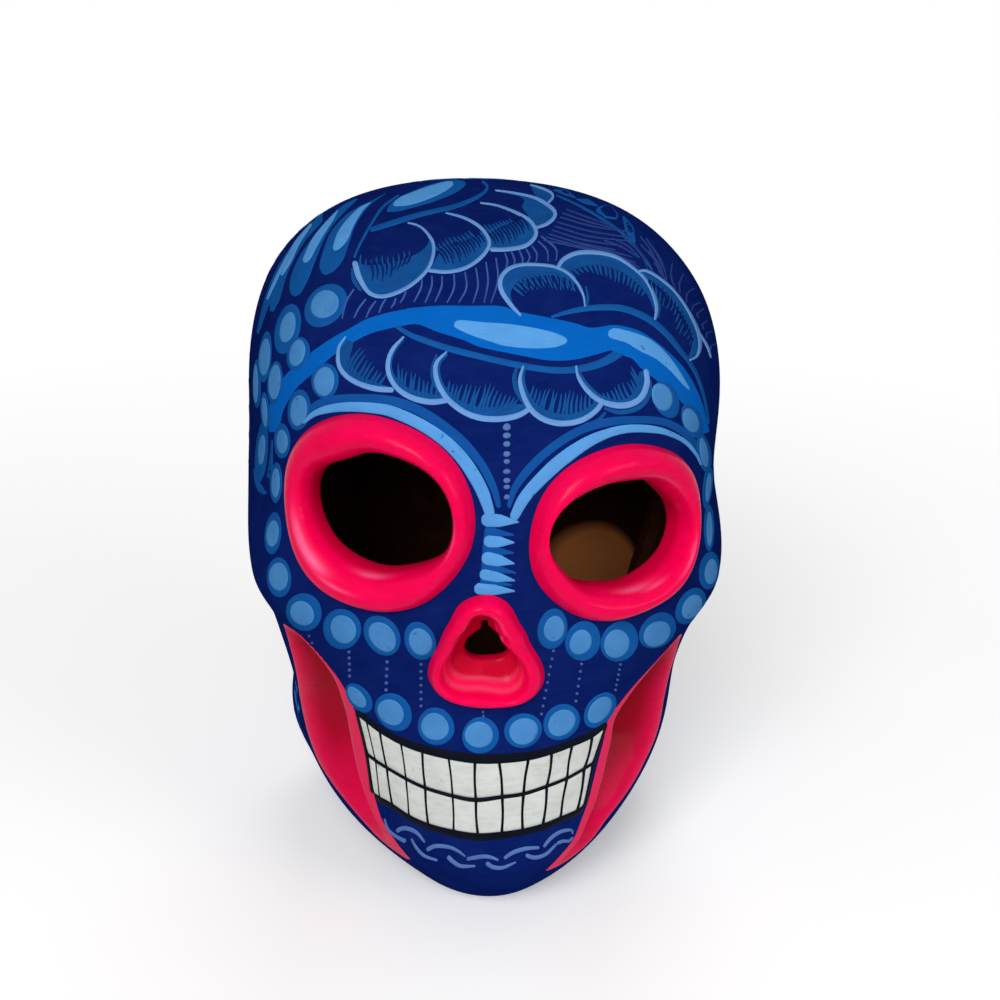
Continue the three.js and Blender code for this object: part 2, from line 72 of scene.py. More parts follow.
# Overall form, as in the part's source
HEIGHT = 190.0
HALF_WIDTH = 67.0
FRONT_REACH = 79.0
BACK_REACH = 94.0
DOME_FOOT = 118.0
WALL = 7.0
HALF_GAP = 0.15
LEVEL_SHARES = (0, 0.15, 0.34, 0.53, 0.75, 1)  # shares of the height of the dome's foot
LEVELS = {  # shares of the half-width and of both reaches, and the exponent of the plan's front half
    "width": (0.42, 0.67, 0.83, 0.865, 0.95, 1),
    "front": (0.66, 0.89, 0.95, 0.93, 0.96, 1),
    "back": (0.44, 0.6, 0.76, 0.88, 0.97, 1),
    "roundness": (2, 1.9, 2, 2.2, 2.5, 2.35),
}
BACK_ROUNDNESS = 2.1
DOME_ROUNDNESS = {"width": 3.1, "front": 2.7, "back": 2.8}
DOME_ROW_POWERS = {"turn": 1.4, "rise": 0.72}
# Swellings and dips of the skin: how far out, height, reach above and below it, azimuth and its spread.
# All but the one of the left jaw are on both sides.
SWELLINGS = {
    "cheekbones": (3.5, 92, 20, 8, 60, 24),
    "temples": (-3, 124, 16, 16, 72, 25),
    "left_jaw": (-4.2, 43, 17, 17, -104, 40),
    "nape": (11, 16, 30, 30, 125, 34),
}
FOOT_ROUNDING = 1.6
LUMP = 0.16  # height of the unevenness that pressing by hand leaves

# Openings, as in the part's source
EYE_LIFT = 3.0
EYES = {
    "left": {"azimuth": -25, "height": 126, "facing": -28},
    "right": {"azimuth": 21, "height": 120.5, "facing": 25},
}
NOSE = {"azimuth": -4, "height": 89}
NOSE_RISE = 4.5
CUT_SHARE = 0.45  # share of a roll's breadth, from its outer edge, that lies on the clay

# Cheek hollows
HOLLOW_DEPTH = 11.0
HOLLOW_LIP = (0.02, 0.03, 0.06, 0.12, 0.2, 0.25)  # share of the breadth before the drop, top to tip
HOLLOW_FLOOR = 0.48  # share of the breadth at which the hollow is deepest
PAINTED_LIP_HIGHLIGHT = (0.1, 0.05, 0.05, 0.08, 0.15, 0.22, 0.2, 0.1)  # breadth of the painted highlight along the lip, from the top to the tip

# Heights of the layers of paint over the clay
SUNK = 0.08
LOW_LAYER = 0.07
MIDDLE_LAYER = 0.13
HIGH_LAYER = 0.19
TOP_LAYER = 0.25

# The photograph's camera, fitted to its outline, in the skull's own frame
VIEW = {
    "azimuth": -6.0,
    "elevation": 22.0,
    "roll": 1.0,
    "distance": 540.0,
    "target": (0.0, 0.0, 95.0),
    "focal_pixels": 1842.0,
    "axis_pixel": (478.5, 521.0),
}
PICTURE_PIXELS = 1000.0
SENSOR = 36.0  # width of the camera's film


# The skin

SPLINE_POINTS = 1201


def level_spline(xs, ys):
    """Table of the cubic spline through (xs, ys), unbent at its lower end and level at its upper end.

    The bends at the knots solve h0 b0 + 2 (h0 + h1) b1 + h1 b2 = 6 (slope1 - slope0).
    """
    xs, ys = np.asarray(xs, float), np.asarray(ys, float)
    last = len(xs) - 1
    span, slope = np.diff(xs), np.diff(ys) / np.diff(xs)
    matrix, right = np.zeros((last + 1, last + 1)), np.zeros(last + 1)
    matrix[0, 0] = 1
    for i in range(1, last):
        matrix[i, i - 1 : i + 2] = span[i - 1], 2 * (span[i - 1] + span[i]), span[i]
        right[i] = 6 * (slope[i] - slope[i - 1])
    matrix[last, last - 1 :] = span[-1], 2 * span[-1]
    right[last] = -6 * slope[-1]
    bend = np.linalg.solve(matrix, right)
    x = np.linspace(xs[0], xs[-1], SPLINE_POINTS)
    i = np.clip(np.searchsorted(xs, x, side="right") - 1, 0, last - 1)
    a = (xs[i + 1] - x) / span[i]
    b = 1 - a
    sag = ((a**3 - a) * bend[i] + (b**3 - b) * bend[i + 1]) * span[i] ** 2 / 6
    return x, a * ys[i] + b * ys[i + 1] + sag


SPLINES = {name: level_spline(LEVEL_SHARES, row) for name, row in LEVELS.items()}


def bell(x, middle, spread):
    """exp(-d^2) of the distance from the middle in spreads."""
    return np.exp(-(((x - middle) / spread) ** 2))


def smoothstep(x, low, high):
    """s^2 (3 - 2 s) of the share s from low to high."""
    share = np.clip((x - low) / (high - low), 0, 1)
    return share * share * (3 - 2 * share)


def plain_radius(azimuth, z):
    """Distance from the axis to the skin without its cheek hollows, at an azimuth in radians and a height.

    A superellipse in plan whose half-width, half-depth and exponent follow splines over the height. Above
    the dome's foot both shrink as (1 - rise^p)^(1/p). Cheekbones and nape swell, and temples and left jaw
    dip, each by a bell in height times a bell in azimuth. Slow sine waves add the hand's unevenness.
    """
    z = np.clip(z, 0, HEIGHT * (1 - 1e-7))
    rise = np.clip((z - DOME_FOOT) / (HEIGHT - DOME_FOOT), 0, 1)
    level = z / DOME_FOOT
    sine, cosine = np.abs(np.sin(azimuth)), np.cos(azimuth)
    front = cosine > 0

    def along(name):
        return np.interp(level, *SPLINES[name])

    def shrink(power):
        return (1 - rise**power) ** (1 / power)

    width = HALF_WIDTH * along("width") * shrink(DOME_ROUNDNESS["width"])
    power = np.where(front, DOME_ROUNDNESS["front"], DOME_ROUNDNESS["back"])
    reach = np.where(front, FRONT_REACH * along("front"), BACK_REACH * along("back"))
    depth = reach * shrink(power)
    roundness = np.where(front, along("roundness"), BACK_ROUNDNESS)
    plain = ((sine / width) ** roundness + (np.abs(cosine) / depth) ** roundness) ** (-1 / roundness)
    turn = np.degrees(np.arctan2(np.sin(azimuth), cosine))
    for name, (out, height, above, below, middle, spread) in SWELLINGS.items():
        side = turn if name == "left_jaw" else np.abs(turn)
        plain = plain + out * bell(z, height, np.where(z > height, above, below)) * bell(side, middle, spread)
    waves = np.sin(3 * azimuth + z / 17) + np.sin(5 * azimuth - z / 11 + 1) + np.sin(z / 7 + 2 * azimuth)
    return plain + LUMP * waves * smoothstep(rise, 1, 0.6)


def catmull_rom(values, at):
    """Curve through equally spaced values, at places from 0 to 1, with the ends' slopes from one side."""
    values = np.asarray(values, float)
    padded = np.concatenate([2 * values[:1] - values[1:2], values, 2 * values[-1:] - values[-2:-1]])
    place = np.clip(np.asarray(at, float), 0, 1) * (len(values) - 1)
    i = np.minimum(place.astype(int), len(values) - 2)
    t = (place - i).reshape((-1,) + (1,) * (values.ndim - 1)) if values.ndim > 1 else place - i
    a, b, c, d = padded[i], padded[i + 1], padded[i + 2], padded[i + 3]
    return 0.5 * (2 * b + (c - a) * t + (2 * a - 5 * b + 4 * c - d) * t**2 + (3 * b - a - 3 * c + d) * t**3)


def cylinder_point(azimuth, z):
    """Point of the skin at an azimuth in radians and a height."""
    radius = plain_radius(azimuth, z)
    return np.stack([radius * np.sin(azimuth), -radius * np.cos(azimuth), z + 0 * radius], -1)


def hollow_sink(across, along, breadth):
    """Depth of a cheek hollow: a drop behind the lip of its front edge, then easing out to the rear edge
    and to both ends, and never more than half its breadth."""
    lip = np.interp(along, np.linspace(0, 1, len(HOLLOW_LIP)), HOLLOW_LIP)
    drop = np.sin(np.clip((across - lip) / (HOLLOW_FLOOR - lip), 0, 1) * math.pi / 2) ** 1.5
    easing = 1 - smoothstep(across, HOLLOW_FLOOR, 1)
    ends = smoothstep(along, 0, 0.3) * (1 - smoothstep(along, 0.5, 0.97))
    return np.minimum(HOLLOW_DEPTH * ends, breadth / 2) * np.minimum(drop, easing)


def outside(points):
    """Horizontal distance of points from the skin: negative inside the skull."""
    x, y, z = points[..., 0], points[..., 1], points[..., 2]
    return np.where(z > HEIGHT, 1.0, np.hypot(x, y) - plain_radius(np.arctan2(x, -y), z))


CORE_HEIGHTS = (12, 96)  # lowest and highest place of the core
NORMAL_STEP = 0.04
SETTLE_REACH = 16.0  # how far to each side of a point the skin is looked for


def core(points):
    """Middle of the hollow skull beside or below each point, from which rays cross the skin once."""
    middle = np.zeros_like(points)
    middle[..., 2] = np.clip(points[..., 2], *CORE_HEIGHTS)
    return middle


def skin_normals(points):
    """Outward normals of the skin near points: the gradient of the distance from it, by four differences."""
    corners = np.array([(1, -1, -1), (-1, -1, 1), (-1, 1, -1), (1, 1, 1)], float)
    gradient = sum(corner * outside(points + NORMAL_STEP * corner)[..., None] for corner in corners)
    return gradient / np.maximum(np.linalg.norm(gradient, axis=-1, keepdims=True), 1e-12)


def halve(low, high, holds, rounds):
    """Ranges from low to high drawn together round the places up to which a condition holds."""
    for _ in range(rounds):
        at = (low + high) / 2
        kept = holds(at)
        low, high = np.where(kept, at, low), np.where(kept, high, at)
    return low, high


def settle(points, lift):
    """Moves points along rays from the core onto the skin, found by halving, then out along its normal."""
    middle = core(points)
    ray = points - middle
    far = np.linalg.norm(ray, axis=-1, keepdims=True)
    ray = ray / far
    low, high = halve(
        far - SETTLE_REACH, far + SETTLE_REACH, lambda at: outside(middle + ray * at)[..., None] < 0, 17
    )
    skin = middle + ray * (low + high) / 2
    return skin + skin_normals(skin) * np.asarray(lift)[..., None]


# The photograph's view


def camera_axes():
    """Position, right, up and forward directions of the camera, with the roll turned in."""
    azimuth, elevation, roll = (math.radians(VIEW[name]) for name in ("azimuth", "elevation", "roll"))
    level = (math.sin(azimuth) * math.cos(elevation), -math.cos(azimuth) * math.cos(elevation))
    back = np.array([*level, math.sin(elevation)])
    position = np.array(VIEW["target"]) + back * VIEW["distance"]
    right = np.cross(-back, (0, 0, 1))
    right /= np.linalg.norm(right)
    up = np.cross(right, -back)
    turned = math.cos(roll) * right + math.sin(roll) * up
    return position, turned, math.cos(roll) * up - math.sin(roll) * right, -back


SIGHT_RANGE = (430.0, 640.0)  # distances from the camera between which the skull lies
SIGHT_STEP = 1.5


def sight(pixels):
    """Points of the skin seen at pixels: rays are stepped through the skull and the first crossing halved.

    A ray that just misses the skull gives the point where it passes closest.
    """
    pixels = np.asarray(pixels, float).reshape(-1, 2)
    position, right, up, forward = camera_axes()
    across = (pixels - np.array(VIEW["axis_pixel"])) / VIEW["focal_pixels"]
    ray = forward + across[:, :1] * right - across[:, 1:] * up
    steps = np.arange(*SIGHT_RANGE, SIGHT_STEP)
    gap = outside(position + steps[:, None, None] * ray)
    hit = gap < 0
    near = steps[np.where(hit.any(0), hit.argmax(0), gap.argmin(0))][:, None]
    _, near = halve(near - SIGHT_STEP, near, lambda at: outside(position + ray * at)[:, None] >= 0, 12)
    return position + ray * near


def seen(points):
    """Pixels at which the camera sees points."""
    position, right, up, forward = camera_axes()
    offset = points - position
    scale = VIEW["focal_pixels"] / (offset @ forward)
    x, y = VIEW["axis_pixel"]
    return np.stack([x + scale * (offset @ right), y - scale * (offset @ up)], -1)


def chart(azimuth_degrees, z, turn_degrees=0):
    """Flat map of the skin round a place, in millimetres to the right and up, turned about its middle."""
    azimuth = math.radians(azimuth_degrees)
    middle = cylinder_point(np.array(azimuth), np.array(float(z)))
    out = skin_normals(middle)
    right = np.array([math.cos(azimuth), math.sin(azimuth), 0])
    up = np.cross(out, right)
    up /= np.linalg.norm(up)
    turn = math.radians(turn_degrees)
    x_axis = math.cos(turn) * right + math.sin(turn) * up
    y_axis = math.cos(turn) * up - math.sin(turn) * right

    def place(flat):
        flat = np.asarray(flat, float).reshape(-1, 2)
        return settle(middle + flat[:, :1] * x_axis + flat[:, 1:] * y_axis, np.zeros(len(flat)))

    return place


# Pixels of the cheek hollows' edges from the cheekbone to the tip: height, front edge and rear edge
CHEEK_EDGES = {
    "left": ((624, 284, 283), (632, 296, 286), (645, 310, 289.5), (660, 324, 293.5), (680, 340, 297.5),
        (700, 351, 300.5), (720, 359, 304.5), (740, 363.5, 310), (760, 368, 318), (780, 371.5, 330),
        (800, 376, 345), (820, 382.5, 362), (840, 395, 381), (860, 411.5, 408)),
    "right": ((634, 680.5, 682), (645, 671, 678), (660, 657, 673.5), (680, 638.5, 668), (700, 621.5, 664),
        (720, 607.5, 660.5), (740, 603, 654.5), (760, 598, 645.5), (780, 593, 635), (800, 588, 621.5),
        (820, 581, 606), (840, 572.5, 591), (860, 556, 568), (871, 545, 547)),
}


def edge_places(side):
    """Azimuth in degrees and height along the front and the rear edge of a cheek hollow."""
    rows = np.array(CHEEK_EDGES[side], float)
    places = []
    for column in (1, 2):
        skin = sight(np.stack([rows[:, column], rows[:, 0]], -1))
        places.append((np.degrees(np.arctan2(skin[:, 0], -skin[:, 1])), skin[:, 2]))
    return places


EDGE_PLACES = {side: edge_places(side) for side in CHEEK_EDGES}


def hollow_place(side, across, along):
    """Azimuth in degrees, height and breadth of a cheek hollow at shares across and along its outline."""
    front, rear = (np.array([catmull_rom(row, along) for row in edge]) for edge in EDGE_PLACES[side])
    azimuth, z = front + across * (rear - front)
    front_point, rear_point = (cylinder_point(np.radians(edge[0]), edge[1]) for edge in (front, rear))
    return azimuth, z, np.linalg.norm(front_point - rear_point, axis=-1)


DENT_STEP = 0.25  # degrees and millimetres between the entries of the table of dents
DENT_REACH = 80  # degrees to each side that the table covers
DENT_HEIGHT = 92
DENT_SAMPLES = (500, 1400)


def share_grid(columns, rows):
    """Shares from 0 to 1 across and along at the points of a grid."""
    return np.meshgrid(np.linspace(0, 1, columns), np.linspace(0, 1, rows))


def dent_table():
    """Depth of both cheek hollows over azimuth and height: samples of each patch averaged into cells."""
    shape = (int(2 * DENT_REACH / DENT_STEP) + 1, int(DENT_HEIGHT / DENT_STEP) + 1)
    total, count = np.zeros(shape), np.zeros(shape)
    for side in CHEEK_EDGES:
        across, along = (grid.ravel() for grid in share_grid(*DENT_SAMPLES))
        azimuth, z, breadth = hollow_place(side, across, along)
        i = np.clip(np.rint((azimuth + DENT_REACH) / DENT_STEP).astype(int), 0, shape[0] - 1)
        j = np.clip(np.rint(z / DENT_STEP).astype(int), 0, shape[1] - 1)
        np.add.at(total, (i, j), hollow_sink(across, along, breadth))
        np.add.at(count, (i, j), 1)
    return total / np.maximum(count, 1)


DENTS = dent_table()


def dent(azimuth, z):
    """Depth of the cheek hollows at an azimuth in radians and a height, read between the table's cells."""
    degrees = np.degrees(np.arctan2(np.sin(azimuth), np.cos(azimuth)))
    x = np.clip((degrees + DENT_REACH) / DENT_STEP, 0, DENTS.shape[0] - 1.001)
    y = np.clip(z / DENT_STEP, 0, DENTS.shape[1] - 1.001)
    i, j = x.astype(int), y.astype(int)
    a, b = x - i, y - j
    low = DENTS[i, j] * (1 - a) + DENTS[i + 1, j] * a
    high = DENTS[i, j + 1] * (1 - a) + DENTS[i + 1, j + 1] * a
    return low * (1 - b) + high * b


# Meshes

# Place of the skull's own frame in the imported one
SEAM = np.array([0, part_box("face_shell")[1].y / MM + HALF_GAP, 0])


def place_object(made, right, up, back, position):
    """Adds an object to the scene with its axes along three directions."""
    matrix = np.eye(4)
    matrix[:3] = np.stack([right, up, back, position], 1)
    made.matrix_world = matrix.T.tolist()
    bpy.context.scene.collection.objects.link(made)


def make_piece(name, part, materials, nodes=()):
    """Blender object of a part given in the skull's own frame, riding on the skull."""
    points = (part["points"] + SEAM) * MM
    quads = np.asarray(part.get("quads", ()), int).reshape(-1, 4)
    triangles = np.asarray(part.get("triangles", ()), int).reshape(-1, 3)
    mesh = bpy.data.meshes.new(name)
    mesh.vertices.add(len(points))
    mesh.vertices.foreach_set("co", points.astype(np.float32).ravel())
    corners = np.concatenate([quads.ravel(), triangles.ravel()]).astype(np.int32)
    mesh.loops.add(len(corners))
    mesh.loops.foreach_set("vertex_index", corners)
    starts = np.concatenate([4 * np.arange(len(quads)), 4 * len(quads) + 3 * np.arange(len(triangles))])
    mesh.polygons.add(len(starts))
    mesh.polygons.foreach_set("loop_start", starts.astype(np.int32))
    for made in materials:
        mesh.materials.append(made)
    if len(materials) > 1:
        mesh.polygons.foreach_set("material_index", part["finish"].astype(np.int32))
    for key, values in part.get("attributes", {}).items():
        mesh.attributes.new(key, "FLOAT", "POINT").data.foreach_set("value", values.astype(np.float32))
    mesh.update(calc_edges=True)
    mesh.validate()
    mesh.shade_smooth()
    piece = bpy.data.objects.new(name, mesh)
    bpy.context.scene.collection.objects.link(piece)
    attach(piece, BODY)
    if nodes:
        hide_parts(*nodes)


def grid_faces(rows, columns, closed_rows=False, closed_columns=False):
    """Quads of a grid of points stored row by row, joined round where it is closed."""
    i = np.arange(rows if closed_rows else rows - 1)[:, None]
    j = np.arange(columns if closed_columns else columns - 1)[None, :]
    after_i, after_j = (i + 1) % rows, (j + 1) % columns
    corners = (i * columns + j, i * columns + after_j, after_i * columns + after_j, after_i * columns + j)
    return np.stack(corners, -1).reshape(-1, 4)


def thick_part(top, under, quads, triangles):
    """Closed part: a surface in finish 0, its copy below it in finish 1, and walls in finish 1 between the
    two along each edge that has only one face."""
    layer = len(top)
    edges = [np.stack([faces, np.roll(faces, -1, 1)], -1).reshape(-1, 2) for faces in (quads, triangles)]
    first, second = np.concatenate(edges).T
    lone = ~np.isin(second * (layer + 1) + first, first * (layer + 1) + second)
    first, second = first[lone], second[lone]
    walls = np.stack([second, first, first + layer, second + layer], -1)
    sizes = [len(quads), len(quads) + len(walls), len(triangles), len(triangles)]
    return {
        "points": np.concatenate([top, under]),
        "quads": np.concatenate([quads, quads[:, ::-1] + layer, walls]),
        "triangles": np.concatenate([triangles, triangles[:, ::-1] + layer]),
        "finish": np.repeat([0, 1, 0, 1], sizes),
    }


def gather(parts):
    """One part out of many: their points are settled on the skin together and their faces renumbered."""
    starts = np.cumsum([0] + [len(part["points"]) for part in parts])

    def joined(key, table=lambda part: part, moves=starts * 0):
        return np.concatenate([table(part)[key] + move for part, move in zip(parts, moves)])

    return {
        "points": settle(joined("points"), joined("lifts")),
        "quads": joined("quads", moves=starts),
        "triangles": joined("triangles", moves=starts),
        "attributes": {key: joined(key, lambda part: part["attributes"]) for key in ("along", "inward")},
    }


def faces_out(first, second, third):
    """Whether a triangle near the skin turns its front outwards."""
    out = first - core(first)
    return np.dot(np.cross(second - first, third - first), out) > 0


FINE_STEPS = 24  # steps between two points of a curve by which its length is measured


def fine_curve(points):
    """Smooth curve through points, in small steps."""
    points = np.asarray(points, float)
    return catmull_rom(points, np.linspace(0, 1, FINE_STEPS * len(points)))


def lengths_along(points):
    """Distance of each point of a line from its first one, along the line."""
    return np.concatenate([[0], np.cumsum(np.linalg.norm(np.diff(points, axis=0), axis=1))])


def resample(points, stations):
    """Smooth curve through points, at the given distances along it."""
    fine = fine_curve(points)
    length = lengths_along(fine)
    return np.stack([np.interp(stations, length, axis) for axis in fine.T], -1)


def curve_length(points):
    """Length of the smooth curve through points."""
    return lengths_along(fine_curve(points))[-1]


def even_curve(points, count):
    """Smooth curve through points, in even steps."""
    return resample(points, np.linspace(0, curve_length(points), count))


def cross_stations(count):
    """Places across a stroke from -1 to 1, with two more close to its edges."""
    return np.concatenate([[-1, -0.93], np.linspace(-0.8, 0.8, count), [0.93, 1]])


def band(place, left, right, lift, across=3, lifts=None, ground=0.0):
    """Closed layer of paint between two edges drawn on a map that `place` carries to the skin.

    The points run evenly from edge to edge, raised over the ground by the rest of the lift times the root
    of 1 - s^8 with s from -1 to 1, and their outermost rows and columns are sunk into the ground. With
    lifts, the lift follows that table from edge to edge. Two lowered rows close the underside.
    """
    a, b = place(left), place(right)
    s = cross_stations(across)
    share = (s + 1) / 2
    rows, columns = len(a), len(s)
    grid = a[:, None] * (1 - share)[None, :, None] + b[:, None] * share[None, :, None]
    level = np.full(columns, lift)
    if lifts is not None:
        level = np.interp(share, np.linspace(0, 1, len(lifts)), lifts)
    rise = np.tile(ground + (level - ground) * np.sqrt(np.maximum(1 - s**8, 0)), (rows, 1))
    rise[:, (0, -1)] = ground - SUNK if lifts is None else np.array([lifts[0], lifts[-1]]) - 2 * SUNK
    rise[(0, -1), :] = np.minimum(rise[(0, -1), :], ground - SUNK)
    ring = np.concatenate([grid, grid[:, (-3, 2)]], 1)
    rises = np.concatenate([rise, np.full((rows, 2), ground - 5 * SUNK)], 1)
    width = columns + 2
    quads = grid_faces(rows, width, closed_columns=True)
    corner = np.arange(1, width - 1)
    cap = np.stack([corner * 0, corner, corner + 1], -1)
    triangles = np.concatenate([cap[:, ::-1], cap + (rows - 1) * width])
    i, j = max(rows // 2 - 1, 0), columns // 2
    if not faces_out(grid[i, j], grid[i, j + 1], grid[i + 1, j]):
        quads, triangles = quads[:, ::-1], triangles[:, ::-1]
    reach = np.linalg.norm(ring - ring[:, :1], axis=-1)
    return {
        "points": ring.reshape(-1, 3),
        "lifts": rises.ravel(),
        "quads": quads,
        "triangles": triangles,
        "attributes": {"along": np.repeat(lengths_along(a), width), "inward": reach.ravel()},
    }


def stroke(place, path, widths, lift, step=3.0, across=1, pointed=False, ground=0.0):
    """Stroke of a brush along a path, its width after a table of widths and its ends round or pointed."""
    length = curve_length(path)
    halves = np.asarray(widths, float) / 2
    spread = np.array([0, 0.12, 0.35, 0.7])
    first, last = min(halves[0], length / 4), min(halves[-1], length / 4)
    inner = np.linspace(first, length - last, max(int((length - first - last) / step), 1) + 1)
    stations = np.concatenate([first * spread, inner, length - last * spread[::-1]])
    centre = resample(path, stations)
    ahead = np.gradient(centre, stations, axis=0)
    ahead /= np.maximum(np.linalg.norm(ahead, axis=1, keepdims=True), 1e-9)
    half = np.interp(stations / length, np.linspace(0, 1, len(halves)), halves)
    if not pointed:
        half = half * end_rounding(stations, first) * end_rounding(length - stations, last)
    side = np.stack([-ahead[:, 1], ahead[:, 0]], -1) * np.maximum(half, 0.03)[:, None]
    return band(place, centre + side, centre - side, lift, across, ground=ground)


def end_rounding(distance, radius):
    """Half-circle at an end: the share of the full width at a distance from it."""
    share = np.clip(distance / max(radius, 1e-6), 0, 1)
    return np.sqrt(np.maximum(1 - (1 - share) ** 2, 0))


def blob(place, outline, lift, rings=(0.5, 0.8, 0.94, 1.0)):
    """Closed drop of paint inside an outline: rings of points drawn in towards the middle, as high as the
    lift times the root of 1 - k^6 at a share k of the way out, with its rim sunk into the clay."""
    rim = place(outline)
    middle = rim.mean(0)
    shares = np.asarray(rings)
    rows, count = len(shares), len(rim)
    points = middle + (rim - middle)[None] * shares[:, None, None]
    rise = lift * np.sqrt(np.maximum(1 - shares**6, 0))
    rise[-1] = -SUNK
    points = np.concatenate([[middle], points.reshape(-1, 3), [middle]])
    lifts = np.concatenate([[lift], np.repeat(rise, count), [-5 * SUNK]])
    quads = grid_faces(rows, count, closed_columns=True) + 1
    around = np.arange(count) + 1
    after = around % count + 1
    rim_start = (rows - 1) * count
    top = np.stack([around * 0, after, around], -1)
    under = np.stack([around * 0 + len(points) - 1, around + rim_start, after + rim_start], -1)
    triangles = np.concatenate([top, under])
    if not faces_out(middle, rim[1], rim[0]):
        quads, triangles = quads[:, ::-1], triangles[:, ::-1]
    reach = np.linalg.norm(points - middle, axis=-1)
    angle = np.concatenate([[0], np.tile(np.abs(np.linspace(-1, 1, count)), rows), [0]])
    return {
        "points": points,
        "lifts": lifts,
        "quads": quads,
        "triangles": triangles,
        "attributes": {"along": 6 * angle, "inward": reach},
    }


def oval(centre, size, tilt=0.0, count=26, wobble=0.0):
    """Outline of an oval of a given width and height, tilted, and made uneven by two slow waves."""
    turn = np.linspace(0, 2 * math.pi, count, endpoint=False)
    uneven = 1 + wobble * (np.sin(2 * turn + centre[0]) + 0.6 * np.sin(3 * turn + centre[1]))
    x, y = size[0] / 2 * np.cos(turn) * uneven, size[1] / 2 * np.sin(turn) * uneven
    c, s = math.cos(math.radians(tilt)), math.sin(math.radians(tilt))
    return np.stack([centre[0] + c * x - s * y, centre[1] + s * x + c * y], -1)


# Finishes


def feed(tree, socket, value):
    """Puts a value on a socket, or links another socket to it."""
    if isinstance(value, bpy.types.NodeSocket):
        tree.links.new(value, socket)
    else:
        socket.default_value = value


def feed_all(tree, sockets, **values):
    """Feeds sockets by their names, underscores standing for spaces."""
    for name, value in values.items():
        feed(tree, sockets[name.replace("_", " ")], value)


def add_node(tree, kind, settings=None, **inputs):
    """Node of a kind, with its settings and its inputs fed."""
    made = tree.nodes.new(kind)
    for name, value in (settings or {}).items():
        setattr(made, name, value)
    feed_all(tree, made.inputs, **inputs)
    return made


def noise(tree, vector, scale, detail=3.0, roughness=0.5):
    """Noise texture's value at a vector."""
    looks = {"Scale": scale, "Detail": detail, "Roughness": roughness}
    return add_node(tree, "ShaderNodeTexNoise", Vector=vector, **looks).outputs["Fac"]


def remap(tree, value, low, high, to_low=0.0, to_high=1.0):
    """Value moved from the range low..high to another one and kept within it."""
    ends = {"From_Min": low, "From_Max": high, "To_Min": to_low, "To_Max": to_high}
    return add_node(tree, "ShaderNodeMapRange", Value=value, **ends).outputs["Result"]


def math_node(tree, kind, operation, values):
    """Outputs of a math node that works on sockets or values."""
    made = add_node(tree, kind, {"operation": operation})
    for socket, value in zip(made.inputs, values):
        feed(tree, socket, value)
    return made.outputs


def reckon(tree, operation, first, second):
    """Sum, product or the like of two sockets or numbers."""
    return math_node(tree, "ShaderNodeMath", operation, (first, second))[0]


# The Mix node names its colour sockets A and B more than once, so they are picked by place.
MIX_INPUTS = (0, 6, 7)
MIX_OUTPUT = 2


def mix_colours(tree, share, first, second):
    """Mixture of two colours, each a socket or a value, by a share that is a socket."""
    made = add_node(tree, "ShaderNodeMix", {"data_type": "RGBA"})
    for place, value in zip(MIX_INPUTS, (share, first, second)):
        feed(tree, made.inputs[place], value)
    return made.outputs[MIX_OUTPUT]


def new_group(name, inputs, outputs):
    """Shader node group with named sockets, and the sockets of its input and output nodes."""
    group = bpy.data.node_groups.new(name, "ShaderNodeTree")
    for direction, sockets in (("INPUT", inputs), ("OUTPUT", outputs)):
        for label, kind in sockets.items():
            group.interface.new_socket(name=label, in_out=direction, socket_type=kind)
    given, result = group.nodes.new("NodeGroupInput"), group.nodes.new("NodeGroupOutput")
    return group, given.outputs, result.inputs


COLOUR, NUMBER, VECTOR = "NodeSocketColor", "NodeSocketFloat", "NodeSocketVector"


def brushed_paint_group():
    """Paint put on with a brush: two tones in soft clouds, streaks along the brush and pores in the clay.

    Where is the place in metres and Streaks the place along and across the brush.
    """
    inputs = {"Where": VECTOR, "Streaks": VECTOR, "Paint": COLOUR, "Thin": COLOUR}
    inputs.update({"Cloud": NUMBER, "Streak": NUMBER, "Gloss": NUMBER})
    outputs = {"Colour": COLOUR, "Roughness": NUMBER, "Height": NUMBER}
    group, given, result = new_group("brushed_paint", inputs, outputs)
    clouds = remap(group, noise(group, given["Where"], 130, 4), 0.3, 0.75)
    streaks = remap(group, noise(group, given["Streaks"], 1.0, 4, 0.6), 0.42, 0.72)
    grain = noise(group, given["Where"], 1500, 2)
    pores = remap(group, noise(group, given["Where"], 620, 2), 0.72, 0.78)
    thin = reckon(group, "MULTIPLY", clouds, given["Cloud"])
    thin = reckon(group, "ADD", thin, reckon(group, "MULTIPLY", streaks, given["Streak"]))
    thin = reckon(group, "MINIMUM", thin, 1.0)
    colour = mix_colours(group, thin, given["Paint"], given["Thin"])
    rough = reckon(group, "ADD", given["Gloss"], remap(group, grain, 0.3, 0.7, -0.05, 0.07))
    rough = reckon(group, "ADD", rough, reckon(group, "MULTIPLY", streaks, 0.06))
    height = reckon(group, "MULTIPLY", streaks, 0.5)
    height = reckon(group, "ADD", height, reckon(group, "MULTIPLY", clouds, 0.6))
    height = reckon(group, "SUBTRACT", height, reckon(group, "MULTIPLY", pores, 0.5))
    feed_all(group, result, Colour=colour, Roughness=rough, Height=height)
    return group


